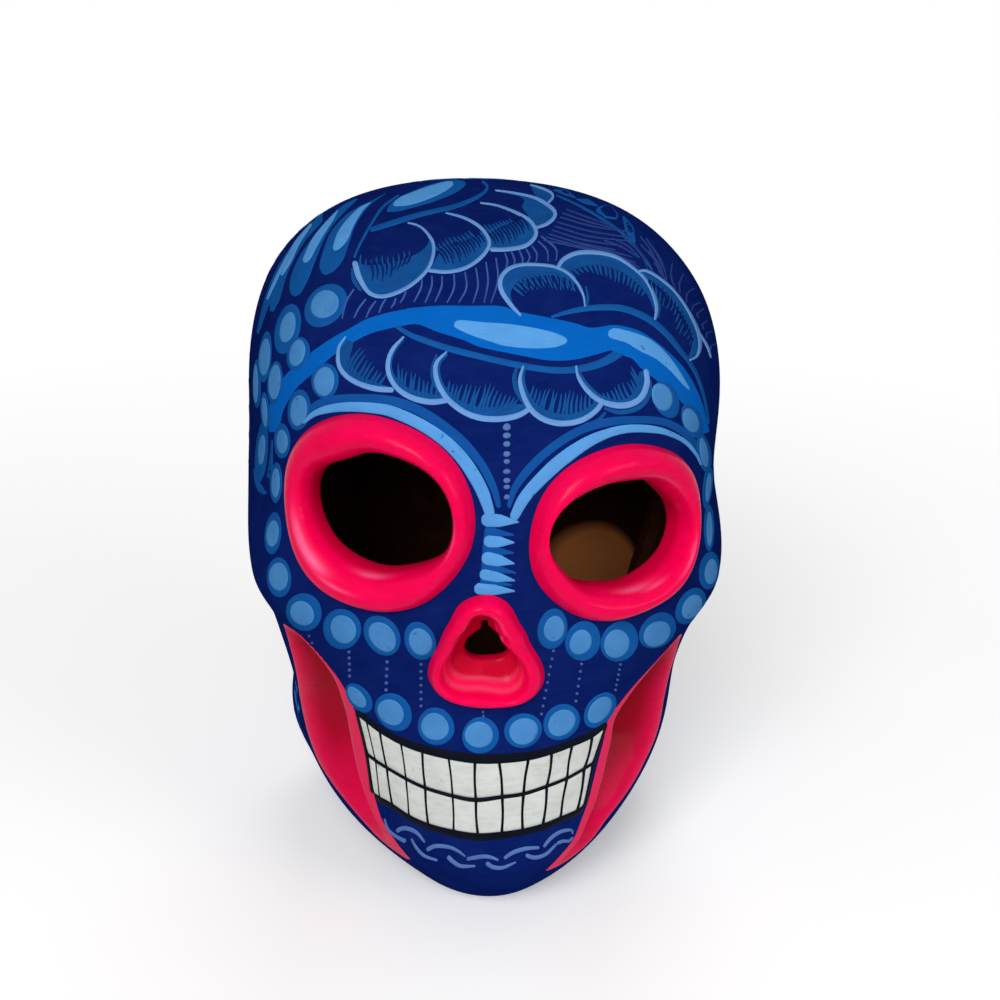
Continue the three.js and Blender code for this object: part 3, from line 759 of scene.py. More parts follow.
def fired_clay_group():
    """Bare fired clay: orange and brown clouds, dark grit and the drag marks of wet fingers."""
    outputs = {"Colour": COLOUR, "Roughness": NUMBER, "Height": NUMBER}
    inputs = {"Where": VECTOR, "Clay": COLOUR, "Scorched": COLOUR, "Dust": COLOUR}
    group, given, result = new_group("fired_clay", inputs, outputs)
    clouds = remap(group, noise(group, given["Where"], 45, 5, 0.6), 0.35, 0.68)
    dust = remap(group, noise(group, given["Where"], 160, 4), 0.55, 0.8)
    grit = remap(group, noise(group, given["Where"], 1300, 2), 0.7, 0.78)
    colour = mix_colours(group, clouds, given["Clay"], given["Scorched"])
    colour = mix_colours(group, reckon(group, "MULTIPLY", dust, 0.5), colour, given["Dust"])
    colour = mix_colours(group, reckon(group, "MULTIPLY", grit, 0.6), colour, given["Scorched"])
    drag = add_node(group, "ShaderNodeMapping", Vector=given["Where"], Scale=(60, 60, 420))
    marks = noise(group, drag.outputs["Vector"], 1.0, 3)
    height = reckon(group, "ADD", marks, reckon(group, "MULTIPLY", grit, -0.4))
    rough = remap(group, dust, 0, 1, 0.78, 0.95)
    feed_all(group, result, Colour=colour, Roughness=rough, Height=height)
    return group


BRUSHED_PAINT = brushed_paint_group()
FIRED_CLAY = fired_clay_group()


COAT_ROUGHNESS = 0.12
PAINT_RELIEF, CLAY_RELIEF = 0.00012, 0.0004  # heights of the bumps in metres


def new_material(name, roughness, shine, coat=0.0):
    """Node material, its tree and its shader."""
    material = bpy.data.materials.new(name)
    material.use_nodes = True
    tree = material.node_tree
    shader = tree.nodes["Principled BSDF"]
    coats = {"Coat_Weight": coat, "Coat_Roughness": COAT_ROUGHNESS}
    feed_all(tree, shader.inputs, Roughness=roughness, Specular_IOR_Level=shine, **coats)
    return material, tree, shader


def object_place(tree):
    """Place in the object's own frame, in metres."""
    return tree.nodes.new("ShaderNodeTexCoord").outputs["Object"]


def vector_length(tree, place):
    """Length of a vector, as a socket."""
    return math_node(tree, "ShaderNodeVectorMath", "LENGTH", [place])["Value"]


def brush_place(tree):
    """Vector of the attributes along and inward, in streaks: slow along the brush and quick across it."""
    joined = tree.nodes.new("ShaderNodeCombineXYZ")
    for key, scale, socket in (("along", 0.12, "X"), ("inward", 1.6, "Y")):
        read = add_node(tree, "ShaderNodeAttribute", {"attribute_name": key})
        tree.links.new(reckon(tree, "MULTIPLY", read.outputs["Fac"], scale), joined.inputs[socket])
    return joined.outputs["Vector"]


def wall_streaks(tree):
    """Vector for streaks on a whole wall, drawn out sideways as a wide brush leaves them."""
    drawn = add_node(tree, "ShaderNodeMapping", Vector=object_place(tree), Scale=(240, 240, 900))
    return drawn.outputs["Vector"]


def dress_shader(tree, shader, colour, group, strength, distance):
    """Feeds the shader with a colour and with the roughness and the bumps that a group gives."""
    rough, height = group.outputs["Roughness"], group.outputs["Height"]
    made = add_node(tree, "ShaderNodeBump", Strength=strength, Distance=distance, Height=height)
    feed_all(tree, shader.inputs, Base_Color=colour, Roughness=rough, Normal=made.outputs["Normal"])


def paint(
    name, colour, thin, cloud=0.5, streak=0.4, gloss=0.5, shine=0.0, coat=0.0, strokes=True, strength=0.35,
    specks=None, tones=(),
):
    """Material of one paint: the brushed paint group with its own two tones, and where they are given
    specks, which are small dark pits, and tones, each a colour laid on by the share in an attribute. On the
    pink paints these tones are painted shade and painted highlights."""
    material, tree, shader = new_material(name, gloss, shine, coat)
    group = add_node(
        tree, "ShaderNodeGroup", {"node_tree": BRUSHED_PAINT}, Cloud=cloud, Streak=streak, Gloss=gloss,
        Paint=(*colour, 1), Thin=(*thin, 1), Where=object_place(tree),
        Streaks=brush_place(tree) if strokes else wall_streaks(tree),
    )
    result = group.outputs["Colour"]
    if specks:
        spots = remap(tree, noise(tree, object_place(tree), 480, 2), 0.68, 0.76)
        result = mix_colours(tree, reckon(tree, "MULTIPLY", spots, 0.75), result, (*specks, 1))
    for key, tone in tones:
        share = add_node(tree, "ShaderNodeAttribute", {"attribute_name": key}).outputs["Fac"]
        result = mix_colours(tree, share, result, (*tone, 1))
    dress_shader(tree, shader, result, group, strength, PAINT_RELIEF)
    return material


# Painted pool of light, lighter clay on the inside of the back wall: middle and reach in millimetres, and
# tone
PAINTED_LIGHT_POOL = ((42, 28, 58), (60, 28.5, 18), (0.8, 0.27, 0.08))
NAVY = (0.0025, 0.0108, 0.108)
NAVY_THIN = (0.006, 0.0185, 0.145)
MID_BLUE = (0.0075, 0.108, 0.385)
LIGHT_BLUE = (0.107, 0.361, 0.775)


def clay_material(name, clay, scorched, dust, lighter=None):
    """Material of bare clay in three tones, and where it is given one, a patch of painted light in a lighter
    tone.
    """
    material, tree, shader = new_material(name, 0.9, 0.1)
    group = add_node(
        tree, "ShaderNodeGroup", {"node_tree": FIRED_CLAY}, Where=object_place(tree),
        Clay=(*clay, 1), Scorched=(*scorched, 1), Dust=(*dust, 1),
    )
    result = group.outputs["Colour"]
    # Painted light: within an oval round the patch's middle the clay turns to the patch's lighter tone.
    if lighter:
        middle, reach, tone = lighter
        place = object_place(tree)
        for operation, values in (("SUBTRACT", middle), ("DIVIDE", reach)):
            metres = [value * MM for value in values]
            place = math_node(tree, "ShaderNodeVectorMath", operation, (place, metres))["Vector"]
        share = remap(tree, vector_length(tree, place), 1.08, 0.9)
        result = mix_colours(tree, share, result, (*tone, 1))
    dress_shader(tree, shader, result, group, 0.6, CLAY_RELIEF)
    return material


navy_paint = paint("navy_paint", NAVY, NAVY_THIN, 0.6, 0.4, strokes=False, strength=0.25)
bare_clay = clay_material("bare_clay", (0.36, 0.13, 0.05), (0.19, 0.062, 0.026), (0.5, 0.27, 0.15))
# Inside clay darkened to dark brown as painted shade for the unlit hollow, with the painted pool of light on
# the back wall.
inner_clay_painted_shade = clay_material(
    "inner_clay_painted_shade", (0.045, 0.011, 0.005), (0.025, 0.006, 0.003), (0.08, 0.03, 0.016), PAINTED_LIGHT_POOL
)
PINK, PINK_THIN = (0.96, 0.0006, 0.088), (0.76, 0.0004, 0.05)
# Its tones, laid by attributes: dark red as painted shade inside the rolls, and light pink as painted
# highlights.
pink_paint = paint(
    "pink_paint", PINK, PINK_THIN, 0.4, 0.35, 0.3, 0.02, 0.07, strokes=False, strength=0.5,
    tones=(("painted_shade", (0.42, 0.0003, 0.012)), ("painted_highlight", (0.98, 0.2, 0.42))),
)
# A darker pink than the rolls', with tones laid by attributes: dark red as painted shade on the hollow's
# floor, and light pink as painted highlights along its lips.
cheek_paint = paint(
    "cheek_paint", (0.72, 0.0015, 0.066), (0.56, 0.001, 0.04), 0.4, 0.35, 0.4, 0.04, 0.04, strokes=False,
    strength=0.4, tones=(("painted_shade", (0.3, 0.0002, 0.009)), ("painted_highlight", (0.8, 0.035, 0.12))),
)
white_paint = paint(
    "white_paint", (0.66, 0.69, 0.66), (0.47, 0.49, 0.46), 0.5, 0.4, 0.5, 0.1, strokes=False,
    specks=(0.33, 0.35, 0.3),
)
black_paint = paint("black_paint", (0.003, 0.0045, 0.0095), (0.0065, 0.0085, 0.014), 0.4, 0.5, 0.45, 0.02)
ribbon_paint = paint("ribbon_paint", (0.0016, 0.112, 0.48), (0.004, 0.135, 0.53), 0.5, 0.5)
blue_paint = paint("blue_paint", MID_BLUE, (0.007, 0.077, 0.3), 0.6, 0.5)
shade_paint = paint("shade_paint", (0.006, 0.072, 0.31), (0.009, 0.092, 0.36), 0.6, 0.5)
LIGHT_THIN, PITS = (0.075, 0.27, 0.62), (0.03, 0.11, 0.27)
light_paint = paint("light_blue_paint", LIGHT_BLUE, LIGHT_THIN, 0.55, 0.35, specks=PITS, strength=0.5)
dot_paint = paint("dot_paint", (0.077, 0.27, 0.6), (0.05, 0.195, 0.47), 0.6, 0.35, specks=PITS, strength=0.7)
violet_paint = paint("violet_paint", (0.085, 0.13, 0.38), (0.05, 0.08, 0.27), 0.6, 0.6)
hairline_paint = paint("hairline_paint", (0.05, 0.115, 0.37), (0.03, 0.075, 0.28), 0.6, 0.6)
faint_paint = paint("faint_paint", (0.03, 0.062, 0.26), (0.018, 0.04, 0.2), 0.6, 0.6)
chain_paint = paint("chain_paint", (0.1, 0.19, 0.47), (0.065, 0.13, 0.34), 0.5, 0.5)
lilac_paint = paint("lilac_paint", (0.162, 0.345, 0.7), (0.1, 0.25, 0.57), 0.5, 0.5)
petal_paint = paint("petal_paint", (0.008, 0.094, 0.33), (0.007, 0.06, 0.235), 0.7, 0.7)


# Clay shells


def opening_frame(azimuth_degrees, z, facing_degrees, lift_degrees):
    """Middle on the skin, right, up and out directions of an opening."""
    facing, lift = math.radians(facing_degrees), math.radians(lift_degrees)
    right = np.array([math.cos(facing), math.sin(facing), 0])
    level = np.array([math.sin(facing), -math.cos(facing), 0])
    out = level * math.cos(lift) + np.array([0, 0, math.sin(lift)])
    middle = cylinder_point(np.array(math.radians(azimuth_degrees)), np.array(float(z)))
    return middle, right, np.cross(out, right), out


EYE_FRAMES = {
    side: opening_frame(eye["azimuth"], eye["height"], eye["facing"], EYE_LIFT) for side, eye in EYES.items()
}
NOSE_FRAME = opening_frame(NOSE["azimuth"], NOSE["height"], NOSE["azimuth"], 0)


OPENING_DEPTH = 30.0  # how far below its plane an opening cuts


def inside_opening(points, opening, rise, turns, radius):
    """Whether points near the skin lie within an outline, a radius at each turn on an opening's own plane."""
    middle, right, up, out = opening
    offset = points - middle
    x, y = offset @ right, offset @ up - rise
    edge = np.interp(np.arctan2(y, x), turns, radius, period=2 * math.pi)
    return (np.hypot(x, y) < edge) & (offset @ out > -OPENING_DEPTH)


def climb_height(climb):
    """Height at a climb from 0 at the underside over 1 at the dome's foot to 2 at the crown."""
    turn = math.pi / 2 * (1 - np.maximum(2 - climb, 0) ** DOME_ROW_POWERS["turn"])
    dome = DOME_FOOT + (HEIGHT - DOME_FOOT) * np.sin(np.maximum(turn, 0)) ** DOME_ROW_POWERS["rise"]
    return np.where(climb <= 1, DOME_FOOT * climb, dome)


DENT_BACKING = 5.0  # clay left behind the dent of a cheek hollow


def clay_shell(first_degrees, last_degrees, columns, wall_rows, dome_rows, holes):
    """Half of the hollow skull: an outer grid over azimuth and climb, the same grid drawn in by the wall,
    without the cells inside the openings, and walls along every free edge between the two. The foot is
    rounded by a quarter of a circle."""
    climbs = np.concatenate([np.linspace(0, 1, wall_rows + 1), np.linspace(1, 2, dome_rows + 1)[1:-1]])
    azimuth, climb = np.meshgrid(np.radians(np.linspace(first_degrees, last_degrees, columns)), climbs)
    z = climb_height(climb)
    plain = cylinder_point(azimuth, z)
    out = skin_normals(np.concatenate([plain[:1] + (0, 0, 0.2), plain[1:]]))
    sink = dent(azimuth, z)
    foot = FOOT_ROUNDING * (1 - np.sqrt(1 - np.clip(1 - z / FOOT_ROUNDING, 0, 1) ** 2))
    level = np.stack([np.sin(azimuth), -np.cos(azimuth), 0 * azimuth], -1)
    outer = plain - out * (sink + 0.5 * np.minimum(sink, 1))[..., None] - level * foot[..., None]
    inner = plain - out * np.maximum(WALL, sink + DENT_BACKING)[..., None]
    inner[0, :, 2] = outer[0, :, 2] = 0
    rows = len(climbs)
    quads = grid_faces(rows, columns)
    centres = outer.reshape(-1, 3)[quads].mean(1)
    keep = np.ones(len(quads), bool)
    for hole in holes:
        keep &= ~inside_opening(centres, *hole)
    quads = quads[keep]
    crown = rows * columns
    edge = (rows - 1) * columns + np.arange(columns - 1)
    triangles = np.stack([edge, edge + 1, edge * 0 + crown], -1)
    top = np.concatenate([outer.reshape(-1, 3), [(0, 0, HEIGHT)]])
    under = np.concatenate([inner.reshape(-1, 3), [(0, 0, HEIGHT - WALL)]])
    return thick_part(top, under, quads, triangles)


# Rolls round the eyes and the nose

# Outlines of the rolls and of their holes in the photograph's pixels, clockwise from the top
EYE_TRACES = {
    "left": {
        "outer": ((360, 413), (380, 416.5), (400, 423), (420, 431.5), (440, 445), (455, 461), (466, 480),
            (473.5, 500), (476, 520), (474, 540), (467.5, 556), (458, 573), (446, 588), (430, 600),
            (412, 608), (390, 612), (368, 610.5), (346, 604), (325, 593), (308, 577), (295, 556),
            (287.5, 530), (284.5, 505), (285, 480), (288, 460), (296, 442), (310, 428), (328, 419),
            (345, 414)),
        "hole": ((385, 453), (400, 459.5), (420, 468.5), (435, 480), (445, 495), (451, 512), (452.5, 530),
            (449, 548), (437, 556), (420, 562), (400, 565.5), (380, 563.5), (360, 556), (343, 543),
            (330, 526), (322.5, 505), (321, 485), (324, 470), (335, 463), (350, 457), (367, 454)),
    },
    "right": {
        "outer": ((640, 444), (660, 447), (676, 454), (688, 465), (696, 480), (700, 500), (701, 525),
            (699, 548), (692, 570), (680, 588), (664, 602), (645, 612), (620, 619.5), (600, 621), (580, 617),
            (562, 608), (546, 594), (534, 575), (528, 555), (526, 540), (528, 520), (534, 503), (545, 488),
            (560, 473), (576, 461.5), (592, 453), (610, 447), (625, 444)),
        "hole": ((638, 480.5), (650, 484), (660, 495), (665, 510), (665.5, 525), (661, 541), (650, 557),
            (635, 570), (618, 578), (600, 581), (580, 580), (565, 573), (555, 562), (550.5, 550),
            (550.5, 538), (553, 525), (561, 512), (575, 500), (592, 490), (612, 483.5), (625, 480.5)),
    },
}
NOSE_TRACES = {
    "outer": ((486, 595), (497, 595.5), (506, 601), (514, 612), (523, 628), (531, 643), (538, 656),
        (543, 668), (545, 680), (540, 691), (528, 700), (514, 706), (497, 708.5), (480, 708), (460, 705),
        (445, 699), (434, 690), (428.5, 678), (429, 666), (433, 654), (440, 640), (447, 625), (455, 611),
        (464, 600), (474, 595.5)),
    "crease": ((487, 614), (492, 620), (498, 632), (505, 644), (514, 656), (524, 669), (525, 676), (520, 682),
        (508, 688), (490, 689), (470, 687), (454, 684), (447, 681), (445, 674), (447, 662), (453, 648),
        (462, 632), (472, 620), (481, 612)),
    "hole": ((485.5, 619), (489, 624), (494, 632), (500, 641), (505, 649), (504, 652), (495, 653.5),
        (485, 654.5), (475, 653.5), (468, 651.5), (466.5, 649.5), (472, 641), (477, 632), (482, 622.5)),
}

# Sections of the rolls: place among the guides, the outer outline being 0, and height over the skin
SECTION_POINTS = 56
EYE_SECTION = (
    (0, -0.6), (0.015, 0.9), (0.07, 2.5), (0.18, 4.0), (0.32, 4.8), (0.46, 5.0), (0.6, 4.6), (0.74, 3.6),
    (0.87, 1.9), (0.96, -0.4), (1, -2.8), (1.02, -5.2), (0.98, -7.4), (0.75, -7.8), (0.55, -6), (0.3, -3),
)
NOSE_SECTION = (
    (-0.02, -0.6), (0.02, 0.9), (0.1, 2.4), (0.25, 3.7), (0.42, 4.4), (0.58, 4.3), (0.73, 3.5), (0.87, 1.9),
    (0.97, -0.2), (1.06, -2.2), (1.3, -3.8), (1.65, -5.0), (1.94, -6.0), (2.0, -7.0), (2.0, -8.6),
    (1.85, -9.6), (1.0, -9.0), (0.7, -6.0), (0.35, -3.0),
)


PLANE_REACH = 40.0  # how far to each side of an opening's plane the skin is looked for


def outline_points(opening, x, y, out):
    """Points over an opening's plane: the skin below each place on it, moved out along its axis."""
    middle, right, up, axis = opening
    flat = middle + x[..., None] * right + y[..., None] * up
    reach = np.full(x.shape, PLANE_REACH)
    low, _ = halve(-reach, reach, lambda at: outside(flat + at[..., None] * axis) < 0, 20)
    return flat + (low + out)[..., None] * axis


def closed_curve(places, count):
    """Smooth closed curve through places, at equal shares of its turn."""
    places = np.asarray(places, float)
    around = np.concatenate([places[-2:], places, places[:3]])
    share = (2 + np.arange(count) / count * len(places)) / (len(around) - 1)
    return catmull_rom(around, share)


def reach_round(curve, centre, angle):
    """Distance from a centre to a closed curve of pixels in the directions of some angles."""
    x, y = (curve - centre).T
    return np.interp(angle, np.arctan2(y, x), np.hypot(x, y), period=2 * math.pi)


def roll_points(opening, rise, section, radii):
    """Grid of a roll: each row of the section runs round the opening between the two nearest guides."""
    turn = np.linspace(0, 2 * math.pi, radii.shape[1], endpoint=False)
    guide = np.clip(section[:, 0].astype(int), 0, len(radii) - 2)
    share = (section[:, 0] - guide)[:, None]
    radius = radii[guide] + share * (radii[guide + 1] - radii[guide])
    x, y = radius * np.cos(turn), radius * np.sin(turn) + rise
    return outline_points(opening, x, y, section[:, 1:] + 0 * x)


def few_waves(values, highest):
    """Closed row of values with only its slowest waves kept, up to a highest count round the ring."""
    return np.fft.irfft(np.fft.rfft(values)[: highest + 1], len(values))


FIT_STEPS = (0.85, 1.2)  # least and greatest change of a radius in one round
FIT_HASTE = 0.7  # power of that change that is taken


def fit_roll(opening, rise, section, traces, reaches, count, highest, rounds):
    """Radii round an opening of the guides of a roll that the camera sees at its traced outlines.

    The first guide shows as the widest of all the roll's rings and the last one as the narrowest, and one
    between them as its own ring. Each round scales the radii by the ratio of traced and seen reach, and
    keeps their slow waves.
    """
    places = closed_curve(section, SECTION_POINTS)
    centre = closed_curve(traces[-1], 200).mean(0)
    curves = [closed_curve(trace, 360) for trace in traces]
    radii = np.array([np.full(count, reach, float) for reach in reaches])
    everywhere = np.linspace(-math.pi, math.pi, 361)
    for _ in range(rounds):
        rings = seen(roll_points(opening, rise, places, radii))
        reach = np.array([reach_round(ring, centre, everywhere) for ring in rings])
        for guide in range(len(radii)):
            own = seen(roll_points(opening, rise, np.array([[guide, places[0, 1]]]), radii))[0]
            angle = np.arctan2(own[:, 1] - centre[1], own[:, 0] - centre[0])
            shown = reach.max(0) if guide == 0 else reach.min(0)
            if 0 < guide < len(radii) - 1:
                shown = reach_round(own, centre, everywhere)
            ratio = reach_round(curves[guide], centre, everywhere) / shown
            step = np.interp(angle, everywhere, ratio)
            step = np.clip(step, *FIT_STEPS) ** FIT_HASTE
            radii[guide] = few_waves(radii[guide] * step, highest[guide])
    return radii


def ring_part(grid):
    """Closed body of a grid of points that is joined round both ways, turned to face outwards."""
    rows, columns = grid.shape[:2]
    quads = grid_faces(rows, columns, closed_rows=True, closed_columns=True)
    points = grid.reshape(-1, 3)
    a, b, c, d = (points[quads[:, k]] for k in range(4))
    volume = (np.cross(a, b) * c).sum() + (np.cross(a, c) * d).sum()
    return {"points": points, "quads": quads if volume > 0 else quads[:, ::-1]}


# Painted highlights on the rolls, each in a lighter pink: turn round the opening in degrees and its spread,
# place on the section, its spread and how strong the highlight is
PAINTED_HIGHLIGHTS = {
    "left_eye": ((204, 15, 0.62, 0.12, 0.45), (222, 11, 0.66, 0.1, 0.6), (243, 13, 0.5, 0.05, 0.4),
        (268, 14, 0.94, 0.03, 0.5), (352, 12, 0.62, 0.06, 0.4)),
    "right_eye": ((285, 16, 0.93, 0.035, 0.5), (302, 10, 0.85, 0.03, 0.4), (335, 12, 0.6, 0.05, 0.4),
        (60, 26, 0.74, 0.03, 0.35), (128, 30, 0.74, 0.03, 0.25)),
    "nose": ((0, 500, 0.97, 0.05, 0.28), (270, 40, 1.25, 0.12, 0.25), (150, 40, 0.7, 0.06, 0.2),
        (60, 30, 0.6, 0.06, 0.2)),
}


def rolls():
    """The three rolls, and the edges of the clay's openings hidden under them."""
    holes = []
    for name, opening, rise, section, traces, reaches, count, waves, rounds in (
        ("left_eye", EYE_FRAMES["left"], 0, EYE_SECTION, EYE_TRACES["left"], (28, 16), 144, (6, 6), 9),
        ("right_eye", EYE_FRAMES["right"], 0, EYE_SECTION, EYE_TRACES["right"], (28, 16), 144, (6, 6), 9),
        ("nose", NOSE_FRAME, NOSE_RISE, NOSE_SECTION, NOSE_TRACES, (16, 9, 5), 150, (8, 6, 6), 13),
    ):
        radii = fit_roll(opening, rise, section, list(traces.values()), reaches, count, waves, rounds)
        places = closed_curve(section, SECTION_POINTS)
        part = ring_part(roll_points(opening, rise, places, radii))
        turns = np.linspace(0, 2 * math.pi, count, endpoint=False)
        across, level = places[:, :1], places[:, 1:]
        # Painted shade down the inside of each roll, and painted highlights at the listed places.
        depth = smoothstep(across, 1.02, 1.3) if name == "nose" else 0.7 * smoothstep(-level, 0.5, 4)
        painted_shade = 0.75 * depth * (level > -9) + 0 * turns
        painted_highlight = 0 * painted_shade
        for degrees, spread, place, width, share in PAINTED_HIGHLIGHTS[name]:
            turn = (np.degrees(turns) - degrees + 180) % 360 - 180
            painted_highlight += share * bell(across, place, width) * (level > -4) * bell(turn, 0, spread)
        part["attributes"] = {"painted_shade": painted_shade.ravel(), "painted_highlight": np.minimum(painted_highlight, 1).ravel()}
        make_piece(f"{name}_roll", part, [pink_paint], [f"{name}_rim"])
        holes.append((opening, rise, turns, radii[0] + CUT_SHARE * (radii[1] - radii[0])))
    return holes


def face_and_cranium(holes):
    """Front half with its openings, and rear half."""
    for half, part in (
        ("face", clay_shell(-90, 90, 171, 104, 76, holes)),
        ("cranium", clay_shell(90, 270, 121, 72, 54, ())),
    ):
        make_piece(f"{half}_clay", part, [navy_paint, inner_clay_painted_shade], [f"{half}_shell"])


# Cheek hollows

CHEEK_GRID = (61, 141)
CHEEK_THICKNESS = 4.0


def cheek_hollow(side):
    """Painted hollow of a cheek: a closed patch over the dented skin, a little over the navy ground. Its
    floor carries painted shade in dark red, and its lips carry painted highlights."""
    across, along = share_grid(*CHEEK_GRID)
    azimuth, z, breadth = hollow_place(side, across, along)
    ground = cylinder_point(np.radians(azimuth), z)
    out = skin_normals(ground)
    sink = hollow_sink(across, along, breadth)
    edge = np.minimum(np.minimum(across, 1 - across) * breadth, np.minimum(along, 1 - along) * 70)
    lift = LOW_LAYER * smoothstep(edge, 0, 0.6) - SUNK * (edge <= 0)
    top = ground + out * (lift - sink)[..., None]
    under = ground - out * (sink + CHEEK_THICKNESS)[..., None]
    # Painted shade on the floor behind the lip's drop, and painted highlights along the lip and the rear
    # edge.
    lip = np.interp(along, np.linspace(0, 1, len(PAINTED_LIP_HIGHLIGHT)), PAINTED_LIP_HIGHLIGHT)
    painted_shade = smoothstep(across, lip, lip + 0.06) * (1 - smoothstep(across, 0.72, 0.92))
    painted_shade = 0.9 * painted_shade * smoothstep(along, 0.07, 0.17) * (1 - smoothstep(along, 0.46, 0.74))
    painted_highlight = 0.5 * (1 - smoothstep(across, lip * 0.7, lip + 0.03)) + 0.4 * smoothstep(across, 0.86, 0.98)
    quads = grid_faces(*across.shape)
    i, j = across.shape[0] // 2, across.shape[1] // 2
    if not faces_out(top[i, j], top[i, j + 1], top[i + 1, j]):
        quads = quads[:, ::-1]
    part = thick_part(top.reshape(-1, 3), under.reshape(-1, 3), quads, np.zeros((0, 3), int))
    part["attributes"] = {"painted_shade": np.tile(painted_shade.ravel(), 2), "painted_highlight": np.tile(painted_highlight.ravel(), 2)}
    return part


def cheeks():
    """Hollows of both cheeks."""
    for side in CHEEK_EDGES:
        part = cheek_hollow(side)
        make_piece(f"{side}_cheek_hollow", part, [cheek_paint], [f"{side}_cheek_slab"])


# Teeth

# Pixels of the tooth lines, from the corner of the mouth at the left to the one at the right
TOP_LINE = (
    (358, 713), (368, 721), (381, 731), (402, 743), (423, 751), (449, 757.5), (475, 761.5), (499, 761.5),
    (528, 758.5), (551, 752.5), (571, 745), (591, 736), (605, 725),
)
BITE_LINE = (
    (368, 753), (377, 760), (388, 767), (407, 778), (426, 787), (453, 795), (476, 799), (502, 796),
    (523, 793), (546, 785.5), (566, 777.5), (583, 768), (592.5, 762),
)
FOOT_LINE = (
    (374, 792), (381, 797), (393.5, 804), (410, 815), (429, 823.5), (454, 830), (478, 833.5), (501.5, 832),
    (522, 829), (542, 824), (559.5, 817), (576, 810), (583, 804.5),
)
TOOTH_LINE_WIDTHS = (1.1, 1.8, 1.5, 2.2, 1.9, 2.5, 2.6, 2.6, 2.5, 2.2, 2.4)
BITE_WIDTHS = (2.4, 2.6, 3, 3.6, 4.4, 3.8, 3.2, 2.6, 2.2)
STRIP_LIFT = 0.62  # height of the white strips over the skin
MOUTH_MIDDLE = 481
TOOTH_STEPS = 90  # points along the tooth lines


def area(first, second, count, lift, across, lifts=None):
    """Layer of paint between two edges drawn in the photograph's pixels."""
    return band(sight, even_curve(first, count), even_curve(second, count), lift, across, lifts)


def bowed(root, tip, bow=0.0):
    """Path from a root to a tip, with its middle moved aside by a share of its length."""
    root, tip = np.asarray(root, float), np.asarray(tip, float)
    return root, (root + tip) / 2 + np.array([tip[1] - root[1], root[0] - tip[0]]) * bow, tip


def shifted(path, x, y):
    """Path moved by some pixels."""
    return [(px + x, py + y) for px, py in path]


def tooth_outlines():
    """Black paint round the teeth, along the bite and between the teeth."""
    strip = STRIP_LIFT + LOW_LAYER
    slope = (LOW_LAYER, 0.5, strip)

    def spread(line, stretch, drop, thinning):
        """Line moved off the teeth, less so towards the corners of the mouth."""
        offsets = [x - MOUTH_MIDDLE for x, _ in line]
        return [(x + far * stretch, y + drop + abs(far) * thinning) for (x, y), far in zip(line, offsets)]

    top_edge, foot_edge = spread(TOP_LINE, 0.006, -8.2, 0.028), spread(FOOT_LINE, 0.004, 7.4, -0.014)
    parts = [
        area(top_edge, shifted(TOP_LINE, 0, 1.2), TOOTH_STEPS, 0, 5, slope),
        area(shifted(FOOT_LINE, 0, -1.2), foot_edge, TOOTH_STEPS, 0, 5, slope[::-1]),
    ]
    for corner, side in ((0, -1), (-1, 1)):
        ends = [path[corner] for path in (TOP_LINE, BITE_LINE, FOOT_LINE)]
        line = [(x, y + drop) for (x, y), drop in zip(ends, (-2, 0, 2))]
        parts.append(area(shifted(line, side * 3.4, 0), shifted(line, side * -1.2, 0), 24, 0, 3, slope))
    parts.append(stroke(sight, BITE_LINE, BITE_WIDTHS, strip, ground=STRIP_LIFT))
    for row, thin in enumerate(TOOTH_LINE_WIDTHS, 1):
        sway = 0.9 * math.sin(3 * row)
        for first, last in ((TOP_LINE[row], BITE_LINE[row]), (BITE_LINE[row], FOOT_LINE[row])):
            path = (first, bowed(first, last)[1] + (sway, 0), last)
            parts.append(stroke(sight, path, (thin * 1.15, thin, thin * 1.1), strip, ground=STRIP_LIFT))
    return parts


def mouth():
    """White strips of both jaws and the black paint over them."""
    upper = area(shifted(BITE_LINE, 0, -0.4), TOP_LINE, TOOTH_STEPS, STRIP_LIFT, 9)
    lower = area(FOOT_LINE, shifted(BITE_LINE, 0, 0.4), TOOTH_STEPS, STRIP_LIFT, 9)
    for jaw, strip in (("upper", upper), ("lower", lower)):
        make_piece(f"{jaw}_teeth", gather([strip]), [white_paint], [f"{jaw}_tooth_strip"])
    make_piece("tooth_outlines", gather(tooth_outlines()), [black_paint])


# Ornament that the photograph shows, in its pixels

# The ribbon's upper and lower edge, in three stretches from left to right
RIBBON_EDGES = (
    (((269, 434), (268, 412), (274, 392), (286, 374), (311, 352), (333, 337), (348, 329), (366, 319),
        (389, 312), (410, 308)), ((280, 434), (282, 416), (288, 402), (298, 387), (313, 374), (333, 356),
        (356, 341), (373, 333), (393, 328), (410, 325))),
    (((407, 308), (439, 305), (470, 305), (500, 305), (520, 311), (551, 317), (575, 322.5), (591, 327),
        (611, 324.5)), ((407, 325), (419, 325), (439, 333), (464, 341), (480, 348), (513, 355), (546, 361),
        (571, 361), (593, 356), (613, 350))),
    (((610, 324.5), (621, 325), (639, 330), (655, 340), (670, 352.5), (684, 367), (694, 383), (703, 404),
        (711, 436)), ((610, 350.5), (623, 356), (633, 360), (641, 369), (654, 379), (665, 388.5), (680, 401),
        (692, 416), (701, 438))),
)
# Middles of the band below the ribbon and of the arc above it
RIBBON_UNDER_BAND = (
    (396, 326), (409, 334), (422, 339.5), (447, 348), (480, 356.5), (513, 364), (546, 369.5), (571, 370),
    (596, 365), (613, 357), (622, 350),
)
RIBBON_OVER_ARC = (
    (551, 317), (566, 312.5), (580, 309.5), (598, 307.5), (620, 308), (640, 314.5), (655, 323.5),
    (668, 335.5), (680, 350), (690, 363), (698, 378), (705, 400), (709, 424),
)
